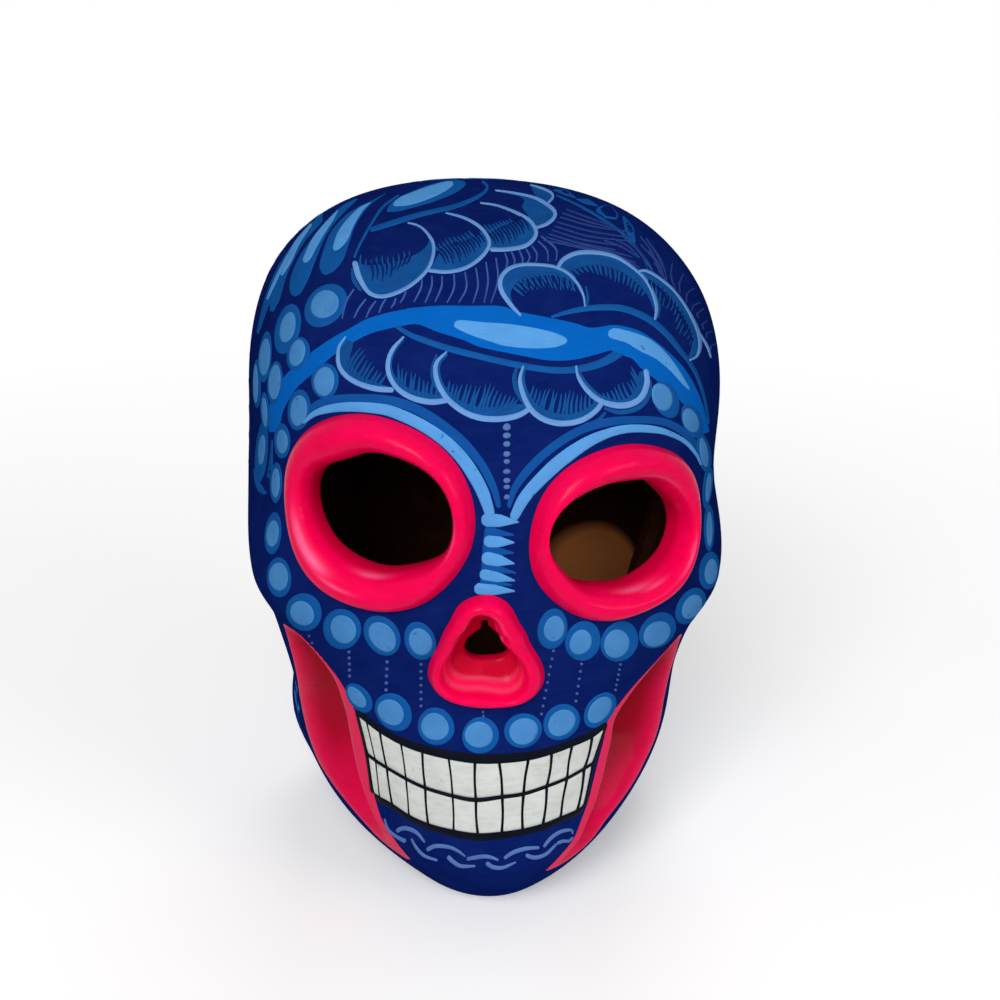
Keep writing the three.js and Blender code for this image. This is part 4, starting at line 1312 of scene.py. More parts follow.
# Light lenses on the ribbon: upper and lower edge
RIBBON_LENSES = (
    (((453, 325), (459, 320), (480, 321.5), (513, 324), (546, 330), (562, 335.5), (568, 340)), ((453, 326),
        (459, 330), (472, 336), (490, 342), (505, 346.5), (530, 349), (553, 348), (565, 344), (568, 341))),
    (((607.5, 332), (614, 328), (629, 331), (647.5, 337.5), (662.5, 349), (676, 365.5), (690, 389)),
        ((607.5, 334), (611, 338.5), (626, 343), (639, 351), (656, 359.5), (671, 372), (682, 384),
        (690, 391.5))),
)

LEFT_HOOK = ((255, 468), (257, 481), (262, 490.5), (267, 489), (269.5, 479), (271, 462), (272, 440))

# Petals: outline from one end on the ribbon round to the other, widths of its stroke, and inner edge of
# its blue in the same order
PETALS = {
    "right_top_1": (
        ((521, 316), (510, 304), (501.5, 291), (500.5, 279.5), (508, 269.5), (521.5, 265), (540, 265),
        (554.5, 267), (568, 273.5), (578, 284.5), (583.5, 296), (585, 307)),
        (2.4, 4.5, 4.8, 4.4, 3.6, 3.2, 3.2, 3.0, 2.6, 1.6),
        ((520, 312), (513, 303), (511, 292), (517, 283), (527, 278), (540, 276), (552, 275), (563, 278),
        (573, 284), (580, 292), (584, 300)),
    ),
    "right_top_2": (
        ((557, 269.5), (563, 260), (576, 253.5), (593, 252.5), (613, 256), (629, 265), (644, 278),
        (652.5, 292.5), (656.5, 307.5), (655, 320)),
        (4, 4.6, 4.6, 4, 3.4, 3, 3.4, 4, 2.6),
        ((562, 276), (571, 271), (583, 267), (597, 265.5), (611, 268), (624, 273.5), (636, 282), (646, 293),
        (652, 305), (655, 314)),
    ),
    "right_top_3": (
        ((636, 272), (646, 271), (659, 278), (674, 291), (687, 309), (697, 329), (700, 344), (697, 356),
        (689, 360.5)),
        (2.6, 3, 2.8, 2.4, 2.6, 3.2, 4, 3.4, 1.8),
        ((640, 278), (648, 279), (657, 285), (668, 296), (679, 311), (688, 326), (692, 338), (691, 349),
        (688, 358)),
    ),
    "lower_1": (
        ((346, 336.5), (339.5, 346), (338, 357.5), (340, 368), (348, 377.5), (361, 384.5), (377.5, 389),
        (394, 390)),
        (1.6, 3, 4.2, 5, 5.4, 5.8, 6, 5.4),
        ((354, 341), (352, 350), (350.5, 358), (354, 368), (362, 376), (374, 382), (384, 385), (393, 388)),
    ),
    "lower_2": (
        ((404, 336.5), (393, 349), (388, 362.5), (389.5, 376), (398, 389), (412.5, 398), (431, 402),
        (449, 400)),
        (1.6, 4.2, 4.8, 5, 5.6, 6.2, 6.2, 5.6),
        ((405, 339), (396, 351), (392, 363), (394, 374), (402, 384), (414, 390), (430, 393.5), (444, 396)),
    ),
    "lower_3": (
        ((447, 351.5), (437, 362), (435.5, 373), (439.5, 387), (449, 400.5), (464, 412), (480.5, 418),
        (500, 419), (518, 415.5), (531, 408)),
        (1.6, 4.6, 5.4, 5.8, 6, 6.2, 6.2, 6, 5),
        ((449, 354), (441, 364), (440.5, 374), (445, 386), (455, 397), (468, 404), (483, 407), (500, 406),
        (516, 404), (529, 404)),
    ),
    "lower_4": (
        ((523.5, 365.5), (520, 379), (523, 394), (530.5, 409), (543, 419), (560, 423.5), (579.5, 421),
        (594.5, 412), (603, 401.5)),
        (1.8, 4.4, 5.4, 5.8, 6, 6, 5.8, 5.6, 5),
        ((526, 368), (525, 380), (529, 393), (537, 404.5), (549, 411), (562, 414), (577, 412.5), (590, 406),
        (600, 397)),
    ),
    "lower_5": (
        ((576, 365.5), (578, 376), (586, 389), (599.5, 400.5), (617.5, 405.5), (632.5, 403.5), (642.5, 395.5),
        (647, 382), (645.5, 369)),
        (1.8, 4, 5, 5.6, 6.4, 6.6, 6.4, 6, 5),
        ((579, 368), (583, 376), (591, 386), (603, 396), (617, 400), (628, 397.5), (635, 390), (638, 380),
        (639, 371)),
    ),
    "left_top_1": (
        ((354.5, 261), (358.5, 276), (366, 289.5), (373, 295), (383, 296.5), (397.5, 292.5), (414, 283),
        (427.5, 269.5), (433, 256), (433, 243), (425.5, 231.5), (417.5, 225.5), (407.5, 223)),
        (6, 6, 4.6, 4, 4, 3.8, 3.6, 3.6, 3.6, 3.4, 2.2, 1.4),
        ((357, 261), (362, 264), (369, 265), (379, 264), (391, 262), (403, 259), (413, 255), (422, 250),
        (428, 243), (429, 236), (424, 231), (416, 226.5), (408, 224)),
    ),
    "left_top_2": (
        ((428, 270.5), (447, 272), (465.5, 268), (480.5, 258), (489, 246), (487, 236), (479, 226.5),
        (464, 218), (445.5, 213)),
        (3.6, 3.6, 3.6, 3.8, 3.8, 3.4, 2.6, 1.4),
        ((434, 262), (440, 252), (450, 246), (462, 243), (473, 238), (480.5, 231), (478, 223), (464, 217),
        (446, 213.5)),
    ),
    "left_top_3": (
        ((490, 249.5), (506.5, 249.5), (525, 246), (534.5, 238), (535.5, 229.5), (528, 219.5), (513, 211.5),
        (496.5, 205.5), (480, 203)),
        (4, 4, 4.2, 4.2, 3.6, 2.8, 2, 1.4),
        ((488, 240), (492, 232), (502, 228), (512, 224), (521, 218), (521, 213), (513, 209.5), (497, 205),
        (481, 203.5)),
    ),
    "left_top_4": (
        ((535, 228), (546, 224.5), (554, 218), (554.5, 211.5), (546, 204), (533, 197.5), (513, 193),
        (495, 190.5)),
        (2.6, 3.6, 4, 3.6, 2.6, 2, 1.4),
        ((530, 219), (525, 212), (521, 206), (524, 201), (519, 196.5), (508, 194), (496, 191)),
    ),
    "left_top_5": (
        ((548, 203), (553, 197.5), (551, 193), (543, 189), (530, 185)),
        (2.4, 2.8, 2.4, 1.4),
        ((538, 198), (535, 195), (533, 192), (532, 189), (530.5, 186)),
    ),
}
# Comb strokes of the petals: where the first to the last begin, where they end, and how many there are
COMBS = (
    (((351, 362), (356, 371), (366, 378), (380, 383)), ((363, 345), (368, 358), (377, 365), (388, 372)), 9),
    (((397, 384), (408, 390), (422, 393), (440, 395)), ((398, 366), (414, 371), (428, 378), (442, 383)), 11),
    (((447, 392), (460, 402), (480, 407), (500, 406), (514, 404)), ((450, 379), (468, 384), (490, 388),
        (506, 394), (519, 398)), 17),
    (((529, 398), (540, 409), (560, 414), (580, 412), (594, 405)), ((534, 385), (544, 389), (560, 392),
        (580, 396), (594, 396)), 16),
    (((605, 398), (616, 400), (628, 398), (636, 390), (639, 380)), ((602, 392), (611, 387), (622, 381),
        (629, 376), (632, 368)), 10),
    (((515, 288), (526, 279), (540, 276.5), (556, 276.5), (572, 284)), ((523, 295), (530, 291), (540, 288),
        (556, 288.5), (576, 292)), 15),
    (((570, 272), (585, 267.5), (600, 266.5), (616, 271), (632, 280), (644, 292)), ((577, 279), (588, 273),
        (601, 275), (618, 281), (633, 290), (642, 296)), 17),
    (((647, 280), (660, 288), (674, 303), (686, 322), (692, 340)), ((650, 287), (659, 299), (670, 314),
        (681, 333), (689, 346)), 14),
    (((360, 264), (370, 266), (382, 264), (396, 262), (410, 258)), ((361, 255), (370, 258), (382, 257),
        (396, 254), (409, 251)), 10),
    (((440, 252), (450, 247), (462, 244), (474, 238)), ((434, 245), (444, 240), (456, 237), (469, 232)), 10),
    (((492, 233), (503, 229), (514, 224)), ((485, 226), (496, 222), (508, 218)), 8),
)
# Dark gaps between the comb strokes: where the first to the last begin, where they end, and how many
PETAL_GAPS = (
    (((370, 262), (380, 261), (390, 259), (400, 258), (411, 255)), ((373, 284), (381, 283), (389, 279),
        (396, 272), (405, 267)), 9),
    (((438, 251), (447, 245), (457, 242), (468, 240), (478, 234)), ((447, 266), (458, 264), (469, 258.5),
        (478, 251), (485, 243)), 14),
    (((489, 234), (499, 228), (509, 224), (520, 217)), ((497, 246), (509, 244.5), (521, 238.5), (529, 230)),
        12),
    (((521, 283), (533, 278), (547, 276), (561, 277), (575, 284)), ((525, 297), (536, 292), (547, 290),
        (560, 291), (575, 297)), 10),
    (((648, 281), (661, 289), (674, 303), (686, 322), (692, 338)), ((652, 290), (661, 301), (673, 317),
        (684, 336), (689, 348)), 16),
)
# Darker strokes beside some of the outlines
PETAL_SHADES = (
    (((517.5, 366), (514.5, 378), (517, 391), (523.5, 402), (531, 411)), (3, 5, 5, 4, 2)),
    (((437, 354), (433.5, 364), (432.5, 374), (435, 385), (441, 394)), (2, 4, 4.5, 4, 2)),
    (((604, 408), (618, 412), (632, 410.5), (643.5, 404), (650, 392), (650.5, 380)), (3, 5, 5, 5, 4, 2)),
    (((584, 425), (597, 421), (606, 412)), (3, 4, 3)),
    (((352, 268), (354, 280), (361, 291)), (2, 5, 3)),
    (((585.5, 286), (588, 296), (587, 306)), (1.5, 3, 2)),
    (((655, 292), (659.5, 306), (658, 318)), (1.5, 3.5, 2.5)),
)

# Leaves: left and right edge of the blue body, then of the light lens in it
LEAVES = (
    (((388, 192), (373, 200), (348, 213), (331, 231), (323, 250), (319, 266), (323, 275)), ((388, 192),
        (386, 193.5), (369, 206), (356, 225), (349, 245), (343, 261), (333, 272), (323, 275.5)), ((372, 202),
        (359, 208), (344, 223), (336, 236), (332.5, 250)), ((372, 202), (363, 211), (354, 226), (348, 240),
        (339, 249.5), (333, 251))),
    (((359, 197), (339, 208), (320, 228), (303, 250), (293, 269), (289, 286), (292, 297)), ((359, 198),
        (339, 218), (326, 236), (316, 260), (310, 276), (301, 293), (293, 297.5)), ((339, 209), (323, 225),
        (311, 241), (302, 261)), ((339, 210), (333, 221), (321, 240), (310, 260), (303, 263.5))),
    (((326, 210), (306, 228), (290, 250), (278, 273), (270, 296), (270, 313)), ((324, 220), (306, 240),
        (295, 258), (286, 278), (280, 299), (272, 314)), ((312, 222), (296, 240), (286, 258), (279.5, 276)),
        ((313, 224), (300, 244), (292, 261), (282, 277))),
    (((291, 246), (276, 270), (264, 300), (256, 334)), ((292, 248), (282, 272), (270, 302), (258, 336)),
        ((288, 253), (274, 280), (266, 300)), ((289, 254), (277, 281), (267.5, 301))),
)
# The leaf that lies along the left flower, with the two lines under it
TOP_LEAF = {
    "body": (((386, 212), (390, 204), (399, 197), (414, 190), (431, 184), (447, 180.5), (460, 180),
        (466, 182)), ((386, 212), (398, 211.5), (409, 209), (431, 203), (452, 195), (463, 188), (467, 183))),
    "lens": (((392, 205), (399, 198), (414, 191.5), (431, 185.5), (447, 181.5), (454, 182)), ((392.5, 206.5),
        (406, 206), (422, 202), (439, 195), (450, 188.5), (454.5, 183.5))),
    "line": ((370, 230), (389, 224), (422, 214), (456, 206), (479, 196), (487.5, 187.5), (482, 181)),
    "thin_line": ((354, 258), (360, 244), (373, 221), (384, 206), (399, 195)),
}

# Brows: middles and widths of the light stroke and of the blue one behind it
BROWS = {
    "left": {
        "light": ((303, 423), (318, 412), (345, 407), (381, 409), (403, 416), (425, 427), (445, 441),
            (461, 457), (473, 474), (483, 493), (491, 517)),
        "light_widths": (3, 8, 10, 11, 12, 12, 12.5, 13, 13.5, 13, 10),
        "shade": ((306, 413), (320, 403), (345, 399), (385, 400), (410, 406.5), (432, 418), (454, 434),
            (472, 452), (486, 472), (495, 492), (499, 508)),
        "shade_widths": (5, 9, 10, 10, 10, 10, 10, 10, 9, 8, 5),
    },
    "right": {
        "light": ((512.5, 520), (525, 497), (544, 476), (563, 459), (588, 442), (612, 432), (633, 428.5),
            (657, 430), (673, 435), (686.5, 443), (696.5, 455), (701, 465)),
        "light_widths": (9, 12, 13, 14, 14, 12, 9.5, 8.5, 8, 5.5, 4, 2),
        "shade": ((508.5, 508), (515, 488), (531, 467), (553, 447), (580, 430.5), (606, 422.5), (632, 420),
            (655, 420.5), (672, 425), (688, 436), (699, 452), (705, 468)),
        "shade_widths": (4, 8, 9, 9, 9, 9, 9, 8, 8, 8, 7, 5),
    },
}
# Strokes across the bridge of the nose: root, tip and width at the root
BRIDGE_STROKES = (
    ((481, 519.5), (519, 522), 14.5), ((483.5, 541), (514.5, 542.5), 13),
    ((481.5, 557), (514.5, 563.5), 14.5), ((479.5, 573.5), (515, 580.5), 12),
    ((474, 588.5), (515, 591), 12.5),
)
BRIDGE_SHADES = (
    ((484, 531), (514, 535), 8), ((484, 550), (514, 553), 8), ((482, 566), (516, 573), 8),
    ((480, 582), (512, 585), 6),
)
BRIDGE_BACKING = ((492, 514), (490, 540), (488, 566), (485, 590))

# Dots: middle, size and tilt of the light drop, then middle and size of the blue ring under it
DOTS = (
    ((302.5, 613), (23, 28), -35, (304, 612), (36, 40)),
    ((343.5, 629), (26.5, 30), -30, (342, 629), (39, 42)),
    ((382.5, 636.5), (25, 34), -35, (382, 635.5), (35, 44)),
    ((420.5, 641.5), (24, 29), -20, (420, 641), (32, 40)),
    ((554, 628.5), (21, 28), 15, (552.5, 629), (31, 42)),
    ((580.5, 642), (22, 27.5), 20, (583, 641), (37, 41)),
    ((616.5, 643.5), (26, 31), 25, (619.5, 641.5), (38, 43)),
    ((656.5, 633.5), (24, 31), 45, (657.5, 630.5), (33, 42)),
    ((691.5, 606.5), (18, 28), 35, (690.5, 606), (27, 41)),
    ((710.5, 571.5), (13, 27), 8, (709, 570.5), (21, 39)),
    ((357, 697), (14, 26), -38, (359, 698), (21, 36)),
    ((391, 712), (24, 31), -45, (393.5, 712), (35, 42)),
    ((435, 726.5), (27, 31), -50, (436, 726.5), (37, 40)),
    ((479, 734.5), (29, 28), 0, (480.5, 735.5), (38, 38)),
    ((523.5, 731), (30, 28), -20, (523, 730.5), (39, 36)),
    ((561.5, 722.5), (31, 25.5), -38, (561.5, 722), (40, 35)),
    ((599.5, 709.5), (32, 20), -48, (600, 710), (42, 27)),
    ((279, 576.5), (20, 30), -5, (279, 577.5), (25, 42)),
    ((273, 533.5), (13, 28), 4, (273, 533.5), (17, 44)),
    ((276, 483), (9, 31), 2, (276, 483), (13, 42)),
    ((282.5, 441.5), (12, 25), 0, (282, 441), (17, 36)),
    ((299, 410.5), (18, 32), 4, (299, 410), (24, 42)),
    ((325, 304.5), (28, 31), 45, (325.5, 305.5), (38, 50)),
    ((288, 327.5), (16, 32), 14, (287.5, 329), (26, 52)),
    ((297.5, 353), (16, 29), 12, (298, 354), (23, 36)),
    ((324.5, 381.5), (22, 30), 4, (325, 381), (29, 36)),
    ((275, 382), (13, 36), 4, (275, 383), (16, 44)),
    ((265, 357), (11, 40), 5, (265, 357), (13, 54)),
    ((256, 384), (5.5, 40), 0, (257, 384), (8, 50)),
    ((265, 412), (5.5, 32), -3, (265, 412), (9, 42)),
    ((662, 397), (20, 30), -20, (666, 399.5), (26, 40)),
    ((690.5, 420.5), (16, 26), -18, (692, 421), (20, 38)),
    ((703.5, 452.5), (8.5, 31), -8, (704, 453), (14, 40)),
    ((708, 487), (5.5, 30), 5, (707.5, 487), (10, 44)),
    ((709, 529), (6.5, 36), 0, (709, 528), (11, 48)),
    ((262, 450), (7.5, 32), 4, (261.5, 452), (13, 64)),
)
# Rows of small beads: first and last middle, how many, and their size
BEAD_ROWS = (
    ((349, 652), (349.5, 676), 5, 4.0), ((387, 662), (386, 690), 5, 4.2), ((421, 664.5), (421, 706), 7, 3.8),
    ((553.5, 651), (541.5, 714), 9, 3.4), ((581.5, 664), (576, 701), 6, 3.6),
    ((620.5, 664.5), (615.5, 690), 6, 3.2), ((483, 712), (483.5, 716), 2, 3.0),
    ((309, 636), (312, 643), 2, 3.2),
)
# Heights, widths and thicknesses of the beads down the middle of the forehead
FOREHEAD_BEADS = (
    (427, 9.5, 8), (435.5, 9.5, 6.5), (444, 8.5, 6.5), (454, 8.5, 6.5), (461.5, 7.5, 5.5), (471.5, 9, 5.5),
    (480.5, 8.5, 6), (487, 8, 5), (497, 7, 5.5),
)
FOREHEAD_MIDDLE = 506.8

# Links of the chain: middles and widths of their strokes
CHAIN = (
    (((384.5, 818.5), (388, 829), (395.5, 836), (406, 841.5)), (1.6, 2.6, 3.2, 4.4)),
    (((396.5, 832), (400, 829), (406.5, 828.2), (416.5, 832.5), (425, 842.5)), (4.4, 4.6, 4, 3, 1.6)),
    (((411.5, 838.5), (416, 847), (424, 855.5), (437.5, 860.5)), (2, 3, 3.2, 2)),
    (((426.5, 850), (435.5, 846), (449, 847), (458, 851), (465.5, 856.5)), (4.4, 4.2, 3.8, 3, 1.6)),
    (((447.5, 856), (453, 861.5), (461, 866), (475.5, 866)), (4.4, 4.2, 3.6, 2)),
    (((466.5, 859), (481.5, 856.5), (490, 857), (498.5, 860)), (3.4, 4.2, 3.8, 2.4)),
    (((486, 862.5), (493, 867), (503, 867.5), (516, 862)), (4.6, 4.2, 3.2, 1.6)),
    (((504, 858.5), (513, 852.5), (526, 848.5), (539.5, 847.5)), (3.2, 4.2, 4, 3)),
    (((525.5, 855), (535, 857.5), (546, 854), (557, 843.5)), (4.4, 4, 3.2, 2)),
    (((543.5, 847), (551, 838), (561, 831.5), (571.5, 830), (572.5, 834)), (2.6, 3.4, 3.6, 3.4, 2)),
    (((557, 843.5), (563, 841), (569, 841), (573, 837)), (3, 3.4, 3, 1.6)),
)

# Hairlines: first, bulging middle or none, and last pixel
HAIRLINES = (
    ((354, 289), (346, 302), (342, 319)), ((366, 299), (359, 308), (354, 318)),
    ((376, 301), (370, 309), (366, 318)), ((386, 299), (382, 305), (379, 313)),
    ((396, 298), (394, 304), (391, 308)), ((406, 289), (404.5, 296), (400, 303)),
    ((422, 279), (421, 288), (414, 302)), ((432, 276), (431.5, 287), (425, 303)),
    ((442, 276), (441.5, 287), (435, 302)), ((454, 274), (454, 288), (447, 303)),
    ((465, 272), (466.5, 288), (458.5, 303)), ((476, 268), (478, 286), (473, 303)),
    ((486, 262), (488, 282), (484, 303)), ((496, 258), (498, 280), (491, 303)),
    ((505, 253), (507.5, 262), (505, 271)), ((511, 251), (515, 261), (512, 269)),
    ((519, 250), (523, 260), (520, 268)), ((526, 249), (530, 257), (526, 265)),
    ((532, 246), (537, 254), (536, 262)), ((538, 241), (547, 250), (548, 261)),
    ((541, 236), (556, 249), (556, 261)),
)
FAINT_LINES = (
    ((560, 217), (592, 226), (630, 232)), ((557, 222), (590, 231), (632, 238)),
    ((555, 226), (588, 236), (628, 241)), ((552, 230), (585, 240), (622, 246)),
    ((549, 234), (580, 243), (616, 250)), ((546, 237), (575, 245), (612, 254)),
    ((543, 240), (568, 245), (600, 252)), ((580, 244), (606, 250), (632, 257)),
    ((586, 248), (610, 253), (636, 263)), ((566, 209), (590, 218), (610, 225)),
    ((562, 213), (590, 222), (618, 229)), ((600, 252), (620, 257), (640, 268)),
    ((604, 240), (622, 247), (638, 257)), ((612, 238), (628, 246), (640, 258)),
    ((624, 238), (640, 252), (648, 270)), ((640, 236), (652, 252), (660, 274)),
    ((646, 238), (658, 256), (663, 274)), ((652, 246), (662, 262), (667, 280)),
    ((634, 246), (648, 262), (655, 276)), ((640, 244), (655, 260), (662, 276)),
    ((648, 250), (659, 264), (665, 280)), ((654, 262), (661, 272), (668, 284)),
    ((672.5, 263), (671, 276), (675.5, 289.5)), ((684, 273.5), (679.5, 283), (680, 293)),
    ((694, 288.5), (687, 293.5), (686.5, 303)), ((700.5, 302.5), (693, 306), (692, 311)),
    ((704, 308.5), (697, 314), (699, 318)), ((707, 321), (702, 324.5), (704, 329.5)),
    ((712, 331.5), (706, 333.5), (707, 338)), ((715.5, 344), (710.5, 346), (711, 350)),
)
STEM = ((556, 195), (580, 206), (604, 220), (626, 236), (639, 251), (652, 270))
STEM_LEAVES = (
    (((553, 190), (564, 192), (576, 198)), (1, 6, 1)), (((576, 199), (588, 202), (598, 206)), (1, 6, 1)),
    (((596, 210), (606, 211), (618, 218)), (4, 15, 5)), (((623, 216), (629, 228), (635, 243)), (2, 10, 2)),
)
OUTER_PETAL_LINE = ((698, 331), (707, 346), (711, 358))

STROKE_PIXELS = 3.0  # step between two points along the long strokes


def ribbon():
    """Broad blue ribbon over the forehead, with its band below and the arc above it."""
    edges = [np.concatenate([even_curve(part[k], 60)[:-1] for part in RIBBON_EDGES]) for k in (0, 1)]
    make_piece("ribbon", gather([band(sight, *edges, LOW_LAYER, across=9)]), [ribbon_paint])
    return [
        stroke(sight, LEFT_HOOK, (3, 5, 7.5, 7.5, 5, 2.6, 2), LOW_LAYER),
        stroke(sight, RIBBON_UNDER_BAND, (4, 6.4, 6.6, 6.6, 6.6, 6.6, 7, 8, 10), LOW_LAYER),
        stroke(sight, RIBBON_OVER_ARC, (3, 5.4, 6.4, 6.8, 7, 6.4, 5, 4, 3, 2.4), LOW_LAYER),
    ]


def comb(rows):
    """Strokes of rows of comb strokes: number in the row, root and tip."""
    for roots, tips, count in rows:
        yield from zip(range(count), even_curve(roots, count), even_curve(tips, count))


def flowers():
    """Petals over and under the ribbon: blue along each outline, comb strokes inwards, and light outlines."""
    fills, outlines, gaps = [], [], []
    for outline, widths, inner in PETALS.values():
        fills.append(area(outline, inner, 46, LOW_LAYER, 5))
        outlines.append(stroke(sight, outline, widths, HIGH_LAYER, STROKE_PIXELS))
    for k, root, tip in comb(COMBS):
        uneven = 0.16 * math.sin(2.4 * k + tip[0]) + 0.1 * math.sin(5.1 * k)
        root, tip = root - (tip - root) * 0.25, tip + (tip - root) * uneven
        path = bowed(root, tip, 0.05 * math.sin(1.7 * k + root[1]))
        fills.append(stroke(sight, path, (3.4, 2.9, 0.7), MIDDLE_LAYER, 4.0))
    fills.extend(stroke(sight, path, widths, LOW_LAYER) for path, widths in PETAL_SHADES)
    outlines.append(stroke(sight, OUTER_PETAL_LINE, (1.6, 2.4, 2.6, 2.2, 1.4), HIGH_LAYER))
    for k, root, tip in comb(PETAL_GAPS):
        path = bowed(root, tip - (tip - root) * 0.12 * (1 + math.sin(2.7 * k)), 0.1)
        gaps.append(stroke(sight, path, (1.9, 1.7, 0.5), TOP_LAYER, 4.0, ground=0.1))
    return fills, outlines, gaps


def leaves(bodies, lights):
    """Leaves with a light lens in each, and the stem with its small leaves."""
    for left, right, lens_left, lens_right in LEAVES:
        bodies.append(area(left, right, 30, LOW_LAYER, 5))
        lights.append(area(lens_left, lens_right, 26, HIGH_LAYER, 4))
    bodies.append(area(*TOP_LEAF["body"], 34, LOW_LAYER, 5))
    bodies.append(stroke(sight, TOP_LEAF["line"], (5, 6, 5.4, 5, 5, 4, 2.4), LOW_LAYER))
    bodies.append(stroke(sight, TOP_LEAF["thin_line"], (2.4, 2.6, 2.6, 2), MIDDLE_LAYER))
    lights.append(area(*TOP_LEAF["lens"], 26, HIGH_LAYER, 4))
    bodies.append(stroke(sight, STEM, (1.6, 2.6, 3, 3, 2.6, 1.6), LOW_LAYER))
    bodies.extend(stroke(sight, path, widths, LOW_LAYER) for path, widths in STEM_LEAVES)


def dots(rings, drops):
    """Light drops, each over a blue ring."""
    for middle, size, tilt, ring_middle, ring_size in DOTS:
        rings.append(blob(sight, oval(ring_middle, ring_size, tilt, 28, 0.02), MIDDLE_LAYER))
        drops.append(blob(sight, oval(middle, size, tilt, 28, 0.025), TOP_LAYER))


def brows(shades, lights):
    """Light brow strokes over blue ones, and the short strokes between the brows."""
    for brow in BROWS.values():
        shades.append(stroke(sight, brow["shade"], brow["shade_widths"], LOW_LAYER, STROKE_PIXELS, 2))
        lights.append(stroke(sight, brow["light"], brow["light_widths"], HIGH_LAYER, STROKE_PIXELS, 3))
    shades.append(stroke(sight, BRIDGE_BACKING, (8, 14, 14, 12), LOW_LAYER))
    for root, tip, width in BRIDGE_SHADES:
        shades.append(stroke(sight, bowed(root, tip), (width, width, 1.5), MIDDLE_LAYER))
    for root, tip, width in BRIDGE_STROKES:
        lights.append(stroke(sight, bowed(root, tip), (width, width * 0.9, 1.2), HIGH_LAYER, 2.0, 2))


def beads():
    """Rows of small beads below the dots."""
    parts = []
    for first, last, count, size in BEAD_ROWS:
        for share in np.linspace(0, 1, count):
            middle = np.array(first) * (1 - share) + np.array(last) * share
            parts.append(blob(sight, oval(middle, (size, size * 0.95), 0, 9), MIDDLE_LAYER, (0.7, 1.0)))
    return parts


def hairlines(lines, widths):
    """Fine pointed strokes."""
    return [stroke(sight, line, widths, MIDDLE_LAYER, 4.0, pointed=True) for line in lines]


def chain_and_forehead_beads():
    """Chain over the chin, and the beads down the forehead."""
    links = [stroke(sight, path, widths, MIDDLE_LAYER, 2.5) for path, widths in CHAIN]
    for y, width, height in FOREHEAD_BEADS:
        outline = oval((FOREHEAD_MIDDLE, y), (width, height), 0, 14, 0.05)
        links.append(blob(sight, outline, MIDDLE_LAYER, (0.7, 1.0)))
    return links


# Ornament of the sides, the back and the crown, in millimetres on charts of the skin

# Flowers: azimuth, height, turn, radius and number of petals
BACK_FLOWERS = ((-131, 121, 8, 27, 8), (180, 124, 0, 29, 8), (131, 121, -8, 27, 8), (180, 181.5, 22, 21, 7))
FLOWER_HEART = 0.3  # share of the radius where the petals begin
PETAL_DEPTH = (0.2, 0.34)  # shares of the petal that its blue and its comb strokes take
# Sprays of leaves: azimuth, height, turn and length of the stem
BACK_SPRAYS = (
    (-101, 126, 4, 46), (101, 126, -4, 46), (-156, 122, 0, 40), (156, 122, 0, 40), (-90, 47, 4, 34),
    (90, 47, -4, 34), (-112, 172, 30, 30), (112, 172, -30, 30), (-148, 173, 20, 26), (148, 173, -20, 26),
)
# Rows right round the back: first and last azimuth, height and number, and the beads below each dot
BACK_STRING = (-8, -10.4, -12.8, -15.2, -17.6)
BACK_DOTS = {"from": 76, "to": 284, "height": 84, "count": 19, "ring": (9.6, 11.6), "drop": (6.4, 8)}
BACK_SCALLOPS = {"from": 109, "to": 251, "height": 60, "count": 10, "size": (20, 14)}
BACK_CHAIN = {"from": 92, "to": 268, "height": 26, "count": 19}


def petal_round(start, end, half, turn, count):
    """Rounded arc of a petal: its radius falls from the end at the middle to the start at both sides."""
    share = np.linspace(-1, 1, count)
    radius = start + (end - start) * np.sqrt(np.maximum(1 - np.abs(share) ** 3, 0))
    angle = turn + share * half
    return np.stack([radius * np.cos(angle), radius * np.sin(angle)], -1)


